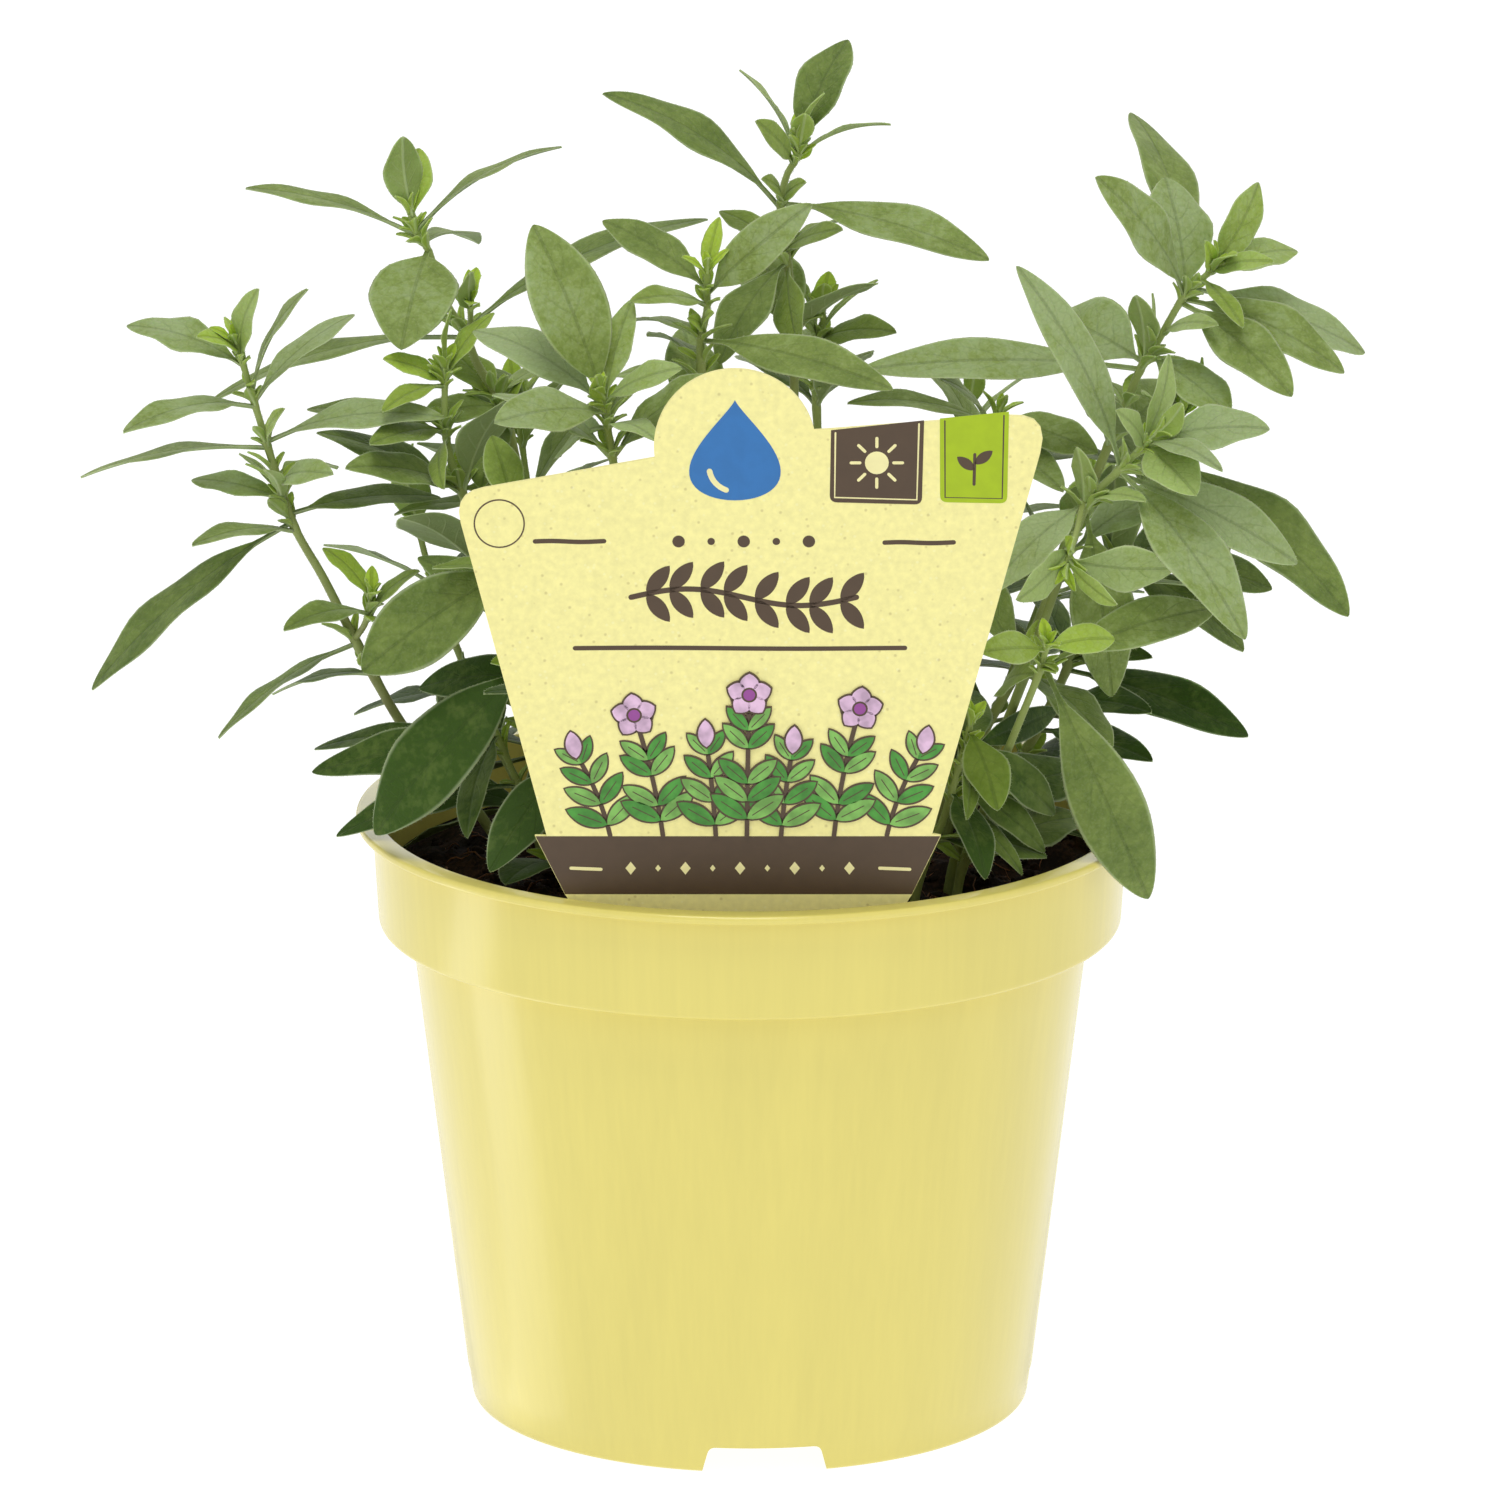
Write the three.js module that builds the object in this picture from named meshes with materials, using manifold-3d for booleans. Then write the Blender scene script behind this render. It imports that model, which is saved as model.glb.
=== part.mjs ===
// A pot of mexican oregano: a yellow nursery pot with its soil, a plant label pushed in at the
// front, and 23 leafy stems, each one solid with its leaves. Millimetres, Z up, front towards -Y.

import * as THREE from 'three';
import { mergeVertices } from 'three/addons/utils/BufferGeometryUtils.js';
import Module from 'manifold-3d';

const wasm = await Module();
wasm.setup();

// Driving sizes of the pot, a 13 cm nursery pot
const LIP_RADIUS = 65;
const POT_HEIGHT = 100;
const BASE_RADIUS = 46.4;
const WALL = 1.2;
const TAPER = 0.119;
const COLLAR_BOTTOM = 81.5;
const COLLAR_RADIUS = 61.2;
const COLLAR_TOP_RADIUS = 62.3;
const LIP_THICKNESS = 1.4;
const FLOOR_UNDERSIDE = 5.5;
const FLOOR_TOP = 6.7;
const FOOT_WIDTH = 1.8;
const FOOT_RADIUS = BASE_RADIUS - 1;
const POT_SIDES = 44;

// Feet, notches and drain holes
const NOTCH_COUNT = 3;
const NOTCH_HEIGHT = 4.5;
const NOTCH_TOP_WIDTH = 18;
const NOTCH_BOTTOM_WIDTH = 20.5;
const NOTCH_TURN = 3;
const NOTCH_ROUND = 1;
const DRAIN_COUNT = 6;
const DRAIN_RADIUS = 4.5;
const DRAIN_CIRCLE = 28;
const DRAIN_SIDES = 10;

// Soil, a little clear of the pot's wall, with holes a little wider than what stands in them
const GAP = 0.35;
const SOIL_TOP = 91.5;
const SOIL_SIDES = 28;
const SOIL_RINGS = [52, 38, 24, 11];
const HOLE_GAP = 0.45;
const HOLE_SPREAD = 1.35;

// Label: a thin plate whose outline is drawn in its own plane, up from the rim's height
const LABEL_THICKNESS = 0.8;
const LABEL_Y = -52.5;
const LABEL_Z = 97;
const LABEL_LEAN = THREE.MathUtils.degToRad(4);
const TAB_RADIUS = 12.9;
const TAB_CENTRE = new THREE.Vector2(-2.4, 79.3);
const TAB_STEPS = 7;
const STAKE_DEPTH = 36;

// Leaves and stems
const BLADE = 0.6;
const PETIOLE = 0.5;
const CLEAR = 0.4;
const ROOT_THICKNESS = 1.25;
const TIP_THICKNESS = 0.62;
const BRANCH_THICKNESS = 0.75;
const BRANCH_TIP_THICKNESS = 0.55;
const STEM_SIDES = 4;
const FOLD = 0.14;
const ROOT_OFFSET = 0.25;
const NODE_STEP = 1.5;
const SPAN_LIMIT = 14;

// Colours
const POT_COLOUR = 0xe5d780;
const SOIL_COLOUR = 0x2c1f17;
const LABEL_COLOUR = 0xf5f09d;
const LEAF_COLOUR = 0x7f9a4e;

// Bends tried in turn, in degrees up and sideways, until a leaf lies clear of everything else
const BENDS = [
  [0, 0], [7, 0], [-7, 0], [0, 7], [0, -7], [14, 0], [-14, 0], [0, 14], [0, -14], [11, 11], [-11, 11],
  [11, -11], [-11, -11], [22, 0], [-22, 0], [0, 22], [0, -22], [20, 20], [-20, 20], [20, -20],
  [-20, -20], [34, 0], [-34, 0], [0, 34], [0, -34],
];

// Every stem is a list of points from its root to its tip. The first stem of a shoot stands in
// the soil, and the others branch from it. A leaf row says where it starts on its stem, from 0 to
// 1, where its tip is, how wide it is, and how many degrees it turns about its own midrib.
const SHOOTS = {
  shoot_left_outer: [
    {
      stem: [[-40, 2, 66], [-41, 2, 92], [-57, 0, 114], [-65, 0, 129], [-70, 1, 139], [-75, 2, 148],
        [-79, 2, 161], [-81, 2, 168], [-83, 0, 176], [-84, -2, 180]],
      leaves: [
        [0.56, -108, -6, 122, 12, 20], [0.78, -102, -12, 167, 9, 10], [0.88, -102, 4, 181, 10, -5],
        [0.67, -110, 6, 155, 9, -5], [0.67, -50, -2, 167, 9, -15], [0.78, -65, 12, 181, 9, 5],
        [0.33, -87, -14, 116, 8, 5], [0.29, -79, 10, 117, 6, -5], [0.56, -51, 12, 150, 8, -20],
        [0.58, -92, 12, 153, 7, 5], [0.57, -91, -12, 148, 7, 25], [0.59, -68, -12, 160, 6, -30],
        [0.59, -68, 12, 155, 7, -10], [0.82, -72, -8, 190, 6, -15], [0.9, -80, -8, 190, 6, -45],
        [0.94, -90, -8, 182, 5, 15],
      ],
    },
    {
      stem: [[-65, 0, 129], [-63, -4, 133], [-62, -6, 138]],
      leaves: [
        [0.7, -76, -17, 135, 7, -10], [0.95, -70, -2, 145, 6, -10], [0.95, -54, -13, 144, 5, -20],
      ],
    },
  ],
  shoot_upper_left: [
    {
      stem: [[-16, 12, 66], [-17, 12, 92], [-36, 15, 142], [-38, 17, 152], [-41, 18, 164], [-45, 19, 171],
        [-47, 20, 176], [-50, 20, 181], [-53, 20, 190], [-55, 20, 193], [-56, 20, 197]],
      leaves: [
        [0.8, -57, 0, 178, 15, 30], [0.59, -90, 28, 162, 9, 10], [0.6, -7, 34, 192, 10, -15],
        [0.9, -83, 22, 200, 8, 0], [0.9, -31, 22, 207, 8, 0], [0.97, -57, 16, 210, 7, -5],
        [0.97, -54, 25, 207, 7, -5], [0.84, -45, 38, 187, 7, -35], [0.4, -54, 8, 164, 8, 40],
        [0.4, -50, 26, 172, 8, -10], [0.39, -44, 2, 154, 8, 0], [0.4, -31, 30, 169, 7, -10],
      ],
      pairs: [0.24, 0.36, 2, 21, 9],
    },
    {
      stem: [[-47, 20, 176], [-46, 15, 179], [-46, 12, 183]],
      leaves: [[0.8, -48, 8, 190, 5, -10], [0.8, -45, 16, 188, 5, 45]],
    },
  ],
  shoot_left_inner: [
    {
      stem: [[-26, 0, 66], [-27, 0, 92], [-44, 2, 137], [-47, 4, 152], [-49, 4, 158], [-50, 4, 164],
        [-50, 4, 171], [-50, 4, 174]],
      leaves: [
        [0.45, -66, -8, 160, 9, 40], [0.69, -73, 16, 164, 8, 10], [0.69, -62, -8, 164, 7, 20],
        [0.45, -36, 16, 146, 8, -65], [0.67, -50, -10, 157, 5, -45], [0.89, -60, 2, 176, 6, 25],
        [0.86, -60, -6, 169, 5, 10], [0.9, -42, 9, 182, 6, 0],
      ],
      pairs: [0.2, 0.45, 3, 24, 11],
    },
  ],
  shoot_mid_left: [
    {
      stem: [[-12, -12, 66], [-13, -13, 92], [-18, -20, 130], [-22, -24, 164], [-23, -25, 171],
        [-23, -25, 173], [-24, -26, 177]],
      leaves: [
        [0.89, -35, -18, 203, 13, -5], [0.86, -41, -38, 175, 10, 30], [0.9, -45, -8, 183, 10, -5],
        [0.95, -22, -22, 193, 6, -10], [0.91, -11, -34, 183, 6, -20], [0.7, -15, -38, 172, 6, -5],
        [0.67, -31, -12, 163, 8, 35], [0.77, -18, -12, 176, 8, 25],
      ],
      pairs: [0.28, 0.54, 3, 24, 11],
    },
  ],
  shoot_middle: [
    {
      stem: [[-4, -6, 66], [-4, -7, 92], [-6, -8, 140], [-8, -10, 178], [-8, -10, 182], [-7, -10, 187],
        [-7, -11, 191], [-7, -12, 194]],
      leaves: [
        [0.57, 23, -32, 179, 9, -40], [0.82, 10, -16, 206, 8, -50], [0.86, -24, -2, 200, 8, 10],
        [0.75, -20, -20, 189, 6, 10], [0.57, -19, 4, 182, 7, 0], [0.43, -16, 6, 181, 6, -25],
        [0.42, -22, -2, 174, 8, 5],
      ],
      pairs: [0.24, 0.36, 2, 23, 10],
    },
  ],
  shoot_tallest: [
    {
      stem: [[6, 8, 66], [6, 9, 92], [7, 10, 140], [7, 10, 182], [6, 10, 191], [5, 10, 199], [6, 9, 205],
        [8, 8, 209], [8, 8, 211]],
      leaves: [
        [0.91, 16, 17, 226, 11, 5], [0.64, -24, 8, 219, 10, 15], [0.64, 39, 0, 193, 11, -15],
        [0.49, -5, -2, 176, 10, 10], [0.48, 8, 0, 178, 8, -50], [0.86, 2, 12, 224, 7, -25],
        [0.89, 23, 12, 213, 6, 25], [0.82, 1, -4, 217, 5, 45], [0.94, 12, 4, 220, 5, -20],
        [0.51, -5, 18, 197, 7, 5], [0.52, 15, -4, 199, 5, -40], [0.53, 16, 16, 196, 5, 5],
      ],
      pairs: [0.22, 0.36, 2, 23, 10],
    },
  ],
  shoot_small_behind: [
    {
      stem: [[12, 20, 66], [12, 21, 92], [12, 22, 140], [11, 22, 174], [12, 22, 177], [12, 21, 180]],
      leaves: [
        [0.6, 24, 12, 178, 7, -35], [0.6, 2, 34, 170, 7, 20], [0.63, 7, 22, 186, 5, 15],
      ],
      pairs: [0.34, 0.52, 2, 21, 9],
    },
  ],
  shoot_upper_right: [
    {
      stem: [[28, 3, 66], [29, 3, 92], [45, 3, 125], [57, 2, 157], [61, 1, 167], [64, 0, 175], [67, 0, 180],
        [71, 0, 187], [74, 0, 190], [76, -1, 192]],
      leaves: [
        [0.78, 56, -14, 210, 10, 45], [0.78, 68, 12, 204, 12, 35], [0.78, 97, -4, 175, 11, -35],
        [0.78, 63, 34, 210, 11, 20], [0.78, 88, -16, 174, 10, -45], [0.79, 101, 10, 175, 11, -20],
        [0.55, 18, -6, 176, 9, 30], [0.57, 50, 18, 179, 13, 60], [0.97, 83, 4, 205, 8, -10],
        [0.97, 90, 6, 196, 8, 20], [0.97, 85, -10, 195, 4.5, -65], [0.58, 63, -4, 188, 6, -30],
        [0.58, 78, -12, 170, 10, -35], [0.58, 71, 12, 166, 8, -70], [0.46, 57, 10, 171, 5, -10],
      ],
      pairs: [0.26, 0.38, 2, 23, 10],
    },
  ],
  shoot_right_front: [
    {
      stem: [[32, -11, 66], [33, -12, 92], [44, -17, 125], [53, -22, 153], [55, -22, 158], [60, -21, 163],
        [63, -21, 166], [66, -22, 169]],
      leaves: [
        [0.71, 80, -38, 139, 12, -50], [0.96, 84, -26, 171, 10, -20], [0.71, 43, -26, 198, 9, 55],
        [0.71, 89, -20, 147, 10, -55], [0.57, 40, -36, 144, 10, -15], [0.91, 72, -34, 162, 9, -50],
        [0.89, 59, -34, 176, 5, 40], [0.93, 76, -38, 167, 5, -45], [0.95, 68, -16, 181, 6, 0],
        [0.97, 71, -26, 175, 5, 15], [0.97, 69, -18, 174, 5, -20], [0.71, 73, -10, 155, 6, 0],
        [0.56, 53, -26, 168, 5, -20], [0.57, 64, -30, 160, 5, -45], [0.55, 59, -18, 124, 11, -90],
      ],
      pairs: [0.2, 0.4, 3, 23, 11],
    },
    {
      stem: [[54, -22, 158], [53, -28, 155], [51, -33, 150]],
      leaves: [[0.93, 69, -30, 149, 9, 30], [0.95, 43, -40, 146, 7, -45]],
    },
  ],
  shoot_right_low: [
    {
      stem: [[34, -20, 66], [34, -20, 92], [40, -26, 112], [47, -34, 133], [48, -37, 138]],
      leaves: [
        [0.79, 65, -26, 92, 12, -50], [0.77, 76, -14, 138, 9, -10], [0.96, 59, -34, 138, 6, -10],
        [0.96, 37, -46, 139, 6, 20], [0.73, 41, -20, 126, 8, 55],
      ],
      pairs: [0.3, 0.56, 2, 24, 12],
    },
  ],
  shoot_right_back: [
    {
      stem: [[38, 10, 66], [39, 10, 92], [50, 9, 116], [59, 8, 138], [67, 7, 156], [71, 6, 166]],
      leaves: [
        [0.85, 98, -8, 135, 14, -25], [0.62, 81, -4, 128, 12, -20], [0.62, 86, 6, 136, 11, -25],
        [0.45, 82, -2, 113, 11, -30], [0.85, 56, 22, 165, 9, 20], [0.39, 67, -6, 116, 8, -45],
        [0.36, 66, -10, 111, 8, -40], [0.45, 66, -4, 127, 5, -50], [0.96, 74, 8, 175, 6, 0],
        [0.96, 70, 0, 176, 6, 0],
      ],
      pairs: [0.3, 0.75, 4, 24, 12],
    },
  ],
  shoot_mid_right: [
    {
      stem: [[16, 10, 66], [16, 11, 92], [26, 12, 125], [36, 12, 150], [41, 12, 165]],
      leaves: [
        [0.97, 57, 2, 160, 9, -35], [0.97, 16, 8, 167, 7, 10], [0.96, 31, -4, 174, 5, 25],
        [0.9, 51, -6, 158, 8, -25],
      ],
      pairs: [0.35, 0.85, 4, 25, 11],
    },
  ],
  shoot_left_low: [
    {
      stem: [[-20, -19, 66], [-21, -20, 92], [-27, -24, 112], [-33, -26, 132], [-37, -27, 150],
        [-38, -28, 158]],
      leaves: [
        [0.79, -63, -28, 131, 14, 50], [0.62, -61, -30, 104, 14, 50], [0.45, -42, -45, 102, 9, 30],
        [0.65, -54, -20, 148, 9, 15], [0.57, -54, -16, 125, 9, 25], [0.53, -49, -34, 127, 5, 25],
        [0.56, -42, -30, 133, 5, 25],
      ],
      pairs: [0.76, 0.96, 2, 17, 7],
    },
  ],
  shoot_left_rim: [
    {
      stem: [[-30, -7, 66], [-31, -8, 92], [-37, -11, 105], [-42, -14, 118]],
      leaves: [
        [0.93, -72, -6, 108, 9, 25], [0.73, -67, -16, 97, 9, 15], [0.96, -46, -32, 104, 7, -10],
        [0.93, -70, 8, 111, 6, 5], [0.98, -47, -16, 131, 6, 0],
      ],
      pairs: [0.35, 0.62, 2, 21, 10],
    },
  ],
  shoot_right_rim: [
    {
      stem: [[26, -24, 66], [27, -25, 92], [32, -29, 108], [36, -32, 124]],
      leaves: [
        [0.96, 40, -44, 112, 8, -10], [0.73, 38, -46, 101, 7, 0], [0.94, 51, -24, 110, 7, -45],
        [0.77, 48, -30, 101, 6, -30], [0.96, 52, -14, 104, 5, -50],
        [0.96, 49, -12, 119, 8, 0], [0.69, 45, -38, 101, 5, -5], [0.98, 38, -34, 135, 5, 0],
      ],
      pairs: [0.25, 0.55, 2, 21, 9],
    },
  ],
  shoot_back_1: [{
    stem: [[-22, 12, 66], [-23, 13, 92], [-31, 22, 118], [-36, 29, 142], [-39, 33, 162]],
    pairs: [0.38, 1, 7, 25, 11],
  }],
  shoot_back_2: [{
    stem: [[-10, 22, 66], [-10, 23, 92], [-14, 35, 114], [-19, 46, 137]],
    pairs: [0.42, 1, 4, 25, 11],
  }],
  shoot_back_3: [{
    stem: [[6, 28, 66], [6, 29, 92], [8, 40, 116], [12, 50, 141]],
    pairs: [0.42, 1, 4, 24, 10],
  }],
  shoot_back_4: [{
    stem: [[22, 22, 66], [22, 23, 92], [27, 30, 117], [33, 37, 142], [37, 41, 160]],
    pairs: [0.38, 1, 7, 25, 11],
  }],
  shoot_back_5: [{
    stem: [[32, 16, 66], [33, 17, 92], [44, 24, 118], [57, 30, 150]],
    pairs: [0.34, 1, 7, 24, 10],
  }],
  shoot_back_6: [{
    stem: [[-34, 8, 66], [-35, 9, 92], [-44, 15, 112], [-52, 19, 132], [-57, 21, 151]],
    pairs: [0.32, 1, 7, 23, 10],
  }],
  shoot_front_1: [{
    stem: [[-5, -22, 66], [-5, -23, 92], [-6, -30, 118], [-8, -34, 142]],
    pairs: [0.46, 1, 3, 18, 7],
  }],
  shoot_front_2: [{
    stem: [[12, -18, 66], [12, -19, 92], [17, -26, 120], [20, -28, 148]],
    pairs: [0.46, 1, 3, 18, 7],
  }],
};

// A small repeatable source of numbers from 0 to 1
let seed = 20517;
function random() {
  seed = (seed * 16807) % 2147483647;
  return seed / 2147483647;
}

function spread(amount) {
  return amount * (2 * random() - 1);
}

// Turns a closed geometry into a solid for cutting and joining
function solid(geometry) {
  const bare = geometry.clone();
  bare.deleteAttribute('normal');
  bare.deleteAttribute('uv');
  const merged = mergeVertices(bare, 1e-4);
  const mesh = new wasm.Mesh({
    numProp: 3,
    vertProperties: new Float32Array(merged.attributes.position.array),
    triVerts: new Uint32Array(merged.index.array),
  });
  return new wasm.Manifold(mesh);
}

function geometryOf(manifold) {
  const mesh = manifold.getMesh();
  const geometry = new THREE.BufferGeometry();
  geometry.setAttribute('position', new THREE.BufferAttribute(new Float32Array(mesh.vertProperties), 3));
  geometry.setIndex(new THREE.BufferAttribute(new Uint32Array(mesh.triVerts), 1));
  return geometry;
}

// Skins a row of rings of equal count, closed by a flat start and by a point or a flat end
function loft(rings, tip) {
  const sides = rings[0].length;
  const points = rings.flat();
  const faces = [];
  for (let ring = 0; ring + 1 < rings.length; ring += 1) {
    for (let side = 0; side < sides; side += 1) {
      const a = ring * sides + side;
      const b = ring * sides + ((side + 1) % sides);
      faces.push(a, b + sides, b, a, a + sides, b + sides);
    }
  }
  for (let side = 1; side + 1 < sides; side += 1) faces.push(0, side, side + 1);
  const last = (rings.length - 1) * sides;
  if (tip) {
    points.push(tip);
    for (let side = 0; side < sides; side += 1) {
      faces.push(last + side, points.length - 1, last + ((side + 1) % sides));
    }
  } else {
    for (let side = 1; side + 1 < sides; side += 1) faces.push(last, last + side + 1, last + side);
  }
  const geometry = new THREE.BufferGeometry().setFromPoints(points);
  geometry.setIndex(faces);
  return geometry;
}

// Outer radius of the pot's body at a height
function bodyRadius(z) {
  return BASE_RADIUS + TAPER * z;
}

function potProfile() {
  const inner = (z) => bodyRadius(z) - WALL;
  return [
    [0, FLOOR_UNDERSIDE], [FOOT_RADIUS - FOOT_WIDTH, FLOOR_UNDERSIDE], [FOOT_RADIUS - FOOT_WIDTH, 0],
    [FOOT_RADIUS, 0], [BASE_RADIUS - 0.2, 0.4], [bodyRadius(1.5), 1.5],
    [bodyRadius(COLLAR_BOTTOM - 0.4), COLLAR_BOTTOM - 0.4], [COLLAR_RADIUS - 1.4, COLLAR_BOTTOM],
    [COLLAR_RADIUS - 0.3, COLLAR_BOTTOM + 0.7], [COLLAR_RADIUS, COLLAR_BOTTOM + 2],
    [COLLAR_TOP_RADIUS, POT_HEIGHT - LIP_THICKNESS], [LIP_RADIUS - 0.5, POT_HEIGHT - LIP_THICKNESS],
    [LIP_RADIUS, POT_HEIGHT - 0.7], [LIP_RADIUS - 0.6, POT_HEIGHT],
    [COLLAR_TOP_RADIUS - WALL, POT_HEIGHT], [COLLAR_RADIUS - WALL, COLLAR_BOTTOM + 2],
    [inner(COLLAR_BOTTOM), COLLAR_BOTTOM + 0.9], [inner(FLOOR_TOP), FLOOR_TOP], [0, FLOOR_TOP],
  ];
}

function latheOf(profile, sides) {
  const lathe = new THREE.LatheGeometry(profile.map(([r, z]) => new THREE.Vector2(r, z)), sides);
  return lathe.rotateX(Math.PI / 2);
}

// The cutter of one notch in the foot, wider at the bottom and rounded at its two upper corners
function notchGeometry() {
  const bottom = NOTCH_BOTTOM_WIDTH / 2 + 0.6;
  const top = NOTCH_TOP_WIDTH / 2;
  const side = top + 0.4;
  const shoulder = NOTCH_HEIGHT - NOTCH_ROUND;
  const corner = top - 0.6;
  const outline = [
    [-bottom, -1], [bottom, -1], [side, shoulder],
    [corner, NOTCH_HEIGHT], [-corner, NOTCH_HEIGHT], [-side, shoulder],
  ];
  const shape = new THREE.Shape(outline.map(([x, z]) => new THREE.Vector2(x, z)));
  const cut = new THREE.ExtrudeGeometry(shape, { depth: 12, bevelEnabled: false });
  return cut.rotateX(Math.PI / 2).translate(0, 6 - BASE_RADIUS, 0);
}

function potSolid() {
  let pot = solid(latheOf(potProfile(), POT_SIDES));
  for (let index = 0; index < NOTCH_COUNT; index += 1) {
    const turn = THREE.MathUtils.degToRad(NOTCH_TURN + (360 / NOTCH_COUNT) * index);
    pot = pot.subtract(solid(notchGeometry().rotateZ(turn)));
  }
  for (let index = 0; index < DRAIN_COUNT; index += 1) {
    const drain = new THREE.CylinderGeometry(DRAIN_RADIUS, DRAIN_RADIUS, 6, DRAIN_SIDES);
    drain.rotateX(Math.PI / 2).translate(DRAIN_CIRCLE, 0, FLOOR_TOP);
    drain.rotateZ((2 * Math.PI * index) / DRAIN_COUNT);
    pot = pot.subtract(solid(drain));
  }
  return pot;
}

// The label's outline: a plate that widens upwards, with a round tab at its top and a stake below
function labelShape() {
  const shape = new THREE.Shape();
  shape.moveTo(-4.8, -STAKE_DEPTH);
  shape.lineTo(1.2, -STAKE_DEPTH);
  shape.lineTo(7, -20);
  shape.lineTo(12, -8);
  shape.lineTo(24, 0);
  shape.lineTo(26.1, 3.5);
  shape.lineTo(30.7, 13.5);
  shape.lineTo(29.3, 13.8);
  shape.lineTo(46.2, 78);
  shape.quadraticCurveTo(48, 85, 42, 85.4);
  shape.lineTo(13, 82.2);
  const start = Math.atan2(82 - TAB_CENTRE.y, 10.2 - TAB_CENTRE.x);
  const end = Math.atan2(77.4 - TAB_CENTRE.y, -15.2 - TAB_CENTRE.x);
  shape.absarc(TAB_CENTRE.x, TAB_CENTRE.y, TAB_RADIUS, start, end + 2 * Math.PI, false);
  shape.lineTo(-42, 72.2);
  shape.quadraticCurveTo(-47.4, 71.4, -46.2, 67);
  shape.lineTo(-32.7, 13.5);
  shape.lineTo(-34.6, 13.5);
  shape.lineTo(-29.8, 3.5);
  shape.lineTo(-27.6, 0);
  shape.lineTo(-15.6, -8);
  shape.lineTo(-10.6, -20);
  return shape;
}

function labelGeometry(shape, thickness) {
  const flat = { depth: thickness, bevelEnabled: false, curveSegments: TAB_STEPS };
  const plate = new THREE.ExtrudeGeometry(shape, flat);
  plate.translate(0, 0, -thickness / 2).rotateX(Math.PI / 2 + LABEL_LEAN);
  return plate.translate(0, LABEL_Y, LABEL_Z);
}

// The slot in the soil that the stake stands in
function stakeSlot() {
  const grow = HOLE_GAP;
  const outline = [
    [-8, -STAKE_DEPTH - 1], [4, -STAKE_DEPTH - 1], [7 + grow, -20], [12 + grow, -8 - grow],
    [24 + grow, -grow], [30, 12], [-32, 12], [-27.6 - grow, -grow], [-15.6 - grow, -8 - grow],
    [-10.6 - grow, -20],
  ];
  const slot = new THREE.Shape(outline.map(([across, up]) => new THREE.Vector2(across, up)));
  return labelGeometry(slot, LABEL_THICKNESS + 2 * grow);
}

// Height of the soil's bumpy top at a place
function soilHeight(x, y) {
  const waves = Math.sin(0.21 * x + 1.1) * Math.cos(0.17 * y) + 0.6 * Math.sin(0.43 * y + 0.31 * x);
  return SOIL_TOP + 1.1 * waves - 0.0007 * (x * x + y * y);
}

function soilSolid(stems, others) {
  const inner = (z) => bodyRadius(z) - WALL - GAP;
  const collar = COLLAR_RADIUS - WALL - GAP;
  const profile = [
    [0, FLOOR_TOP + GAP], [inner(FLOOR_TOP + GAP), FLOOR_TOP + GAP],
    [inner(COLLAR_BOTTOM), COLLAR_BOTTOM + 1.1], [collar - 0.3, COLLAR_BOTTOM + 2.6],
    [collar, SOIL_TOP], ...SOIL_RINGS.map((radius) => [radius, SOIL_TOP]), [0, SOIL_TOP],
  ];
  const geometry = latheOf(profile, SOIL_SIDES);
  const place = geometry.attributes.position;
  for (let index = 0; index < place.count; index += 1) {
    if (place.getZ(index) > SOIL_TOP - 0.1) {
      place.setZ(index, soilHeight(place.getX(index), place.getY(index)));
    }
  }
  let soil = solid(geometry);
  for (const stem of stems) soil = soil.subtract(solid(stemGeometry(stem, HOLE_GAP, true)));
  for (const other of others) soil = soil.subtract(other);
  return soil;
}

function curveOf(points) {
  return new THREE.CatmullRomCurve3(points.map((p) => new THREE.Vector3(...p)));
}

// Where a stem has its cross-sections: at every point of its list, and between distant ones
function stations(stem) {
  const spans = stem.length - 1;
  const places = [0];
  for (let span = 0; span < spans; span += 1) {
    const distance = Math.hypot(...stem[span].map((value, axis) => stem[span + 1][axis] - value));
    const parts = Math.ceil(distance / SPAN_LIMIT);
    for (let part = 1; part <= parts; part += 1) places.push((span + part / parts) / spans);
  }
  return places;
}

// Half the width of a stem, thinner towards its tip
function stemRadius(t, rooted) {
  const root = rooted ? ROOT_THICKNESS : BRANCH_THICKNESS;
  const tip = rooted ? TIP_THICKNESS : BRANCH_TIP_THICKNESS;
  return root + (tip - root) * t;
}

// A square stem along its points. With grow, it is the hole that the stem stands in.
function stemGeometry(stem, grow, rooted) {
  const curve = curveOf(stem);
  const rings = [];
  for (const t of stations(stem)) {
    const centre = curve.getPoint(t);
    const tangent = tangentAt(curve, t);
    if (grow && t === 0) centre.addScaledVector(tangent, -0.5);
    const across = new THREE.Vector3(0, 1, 0).addScaledVector(tangent, -tangent.y).normalize();
    const side = new THREE.Vector3().crossVectors(across, tangent);
    const radius = stemRadius(t, rooted) * (grow ? HOLE_SPREAD : 1) + grow;
    rings.push(Array.from({ length: STEM_SIDES }, (empty, corner) => {
      const angle = (2 * Math.PI * corner) / STEM_SIDES + Math.PI / 4;
      return centre.clone().addScaledVector(side, -radius * Math.cos(angle))
        .addScaledVector(across, radius * Math.sin(angle));
    }));
  }
  return loft(rings);
}

function tangentAt(curve, t) {
  const step = 0.01;
  const ahead = curve.getPoint(Math.min(t + step, 1));
  return ahead.sub(curve.getPoint(Math.max(t - step, 0))).normalize();
}

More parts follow.
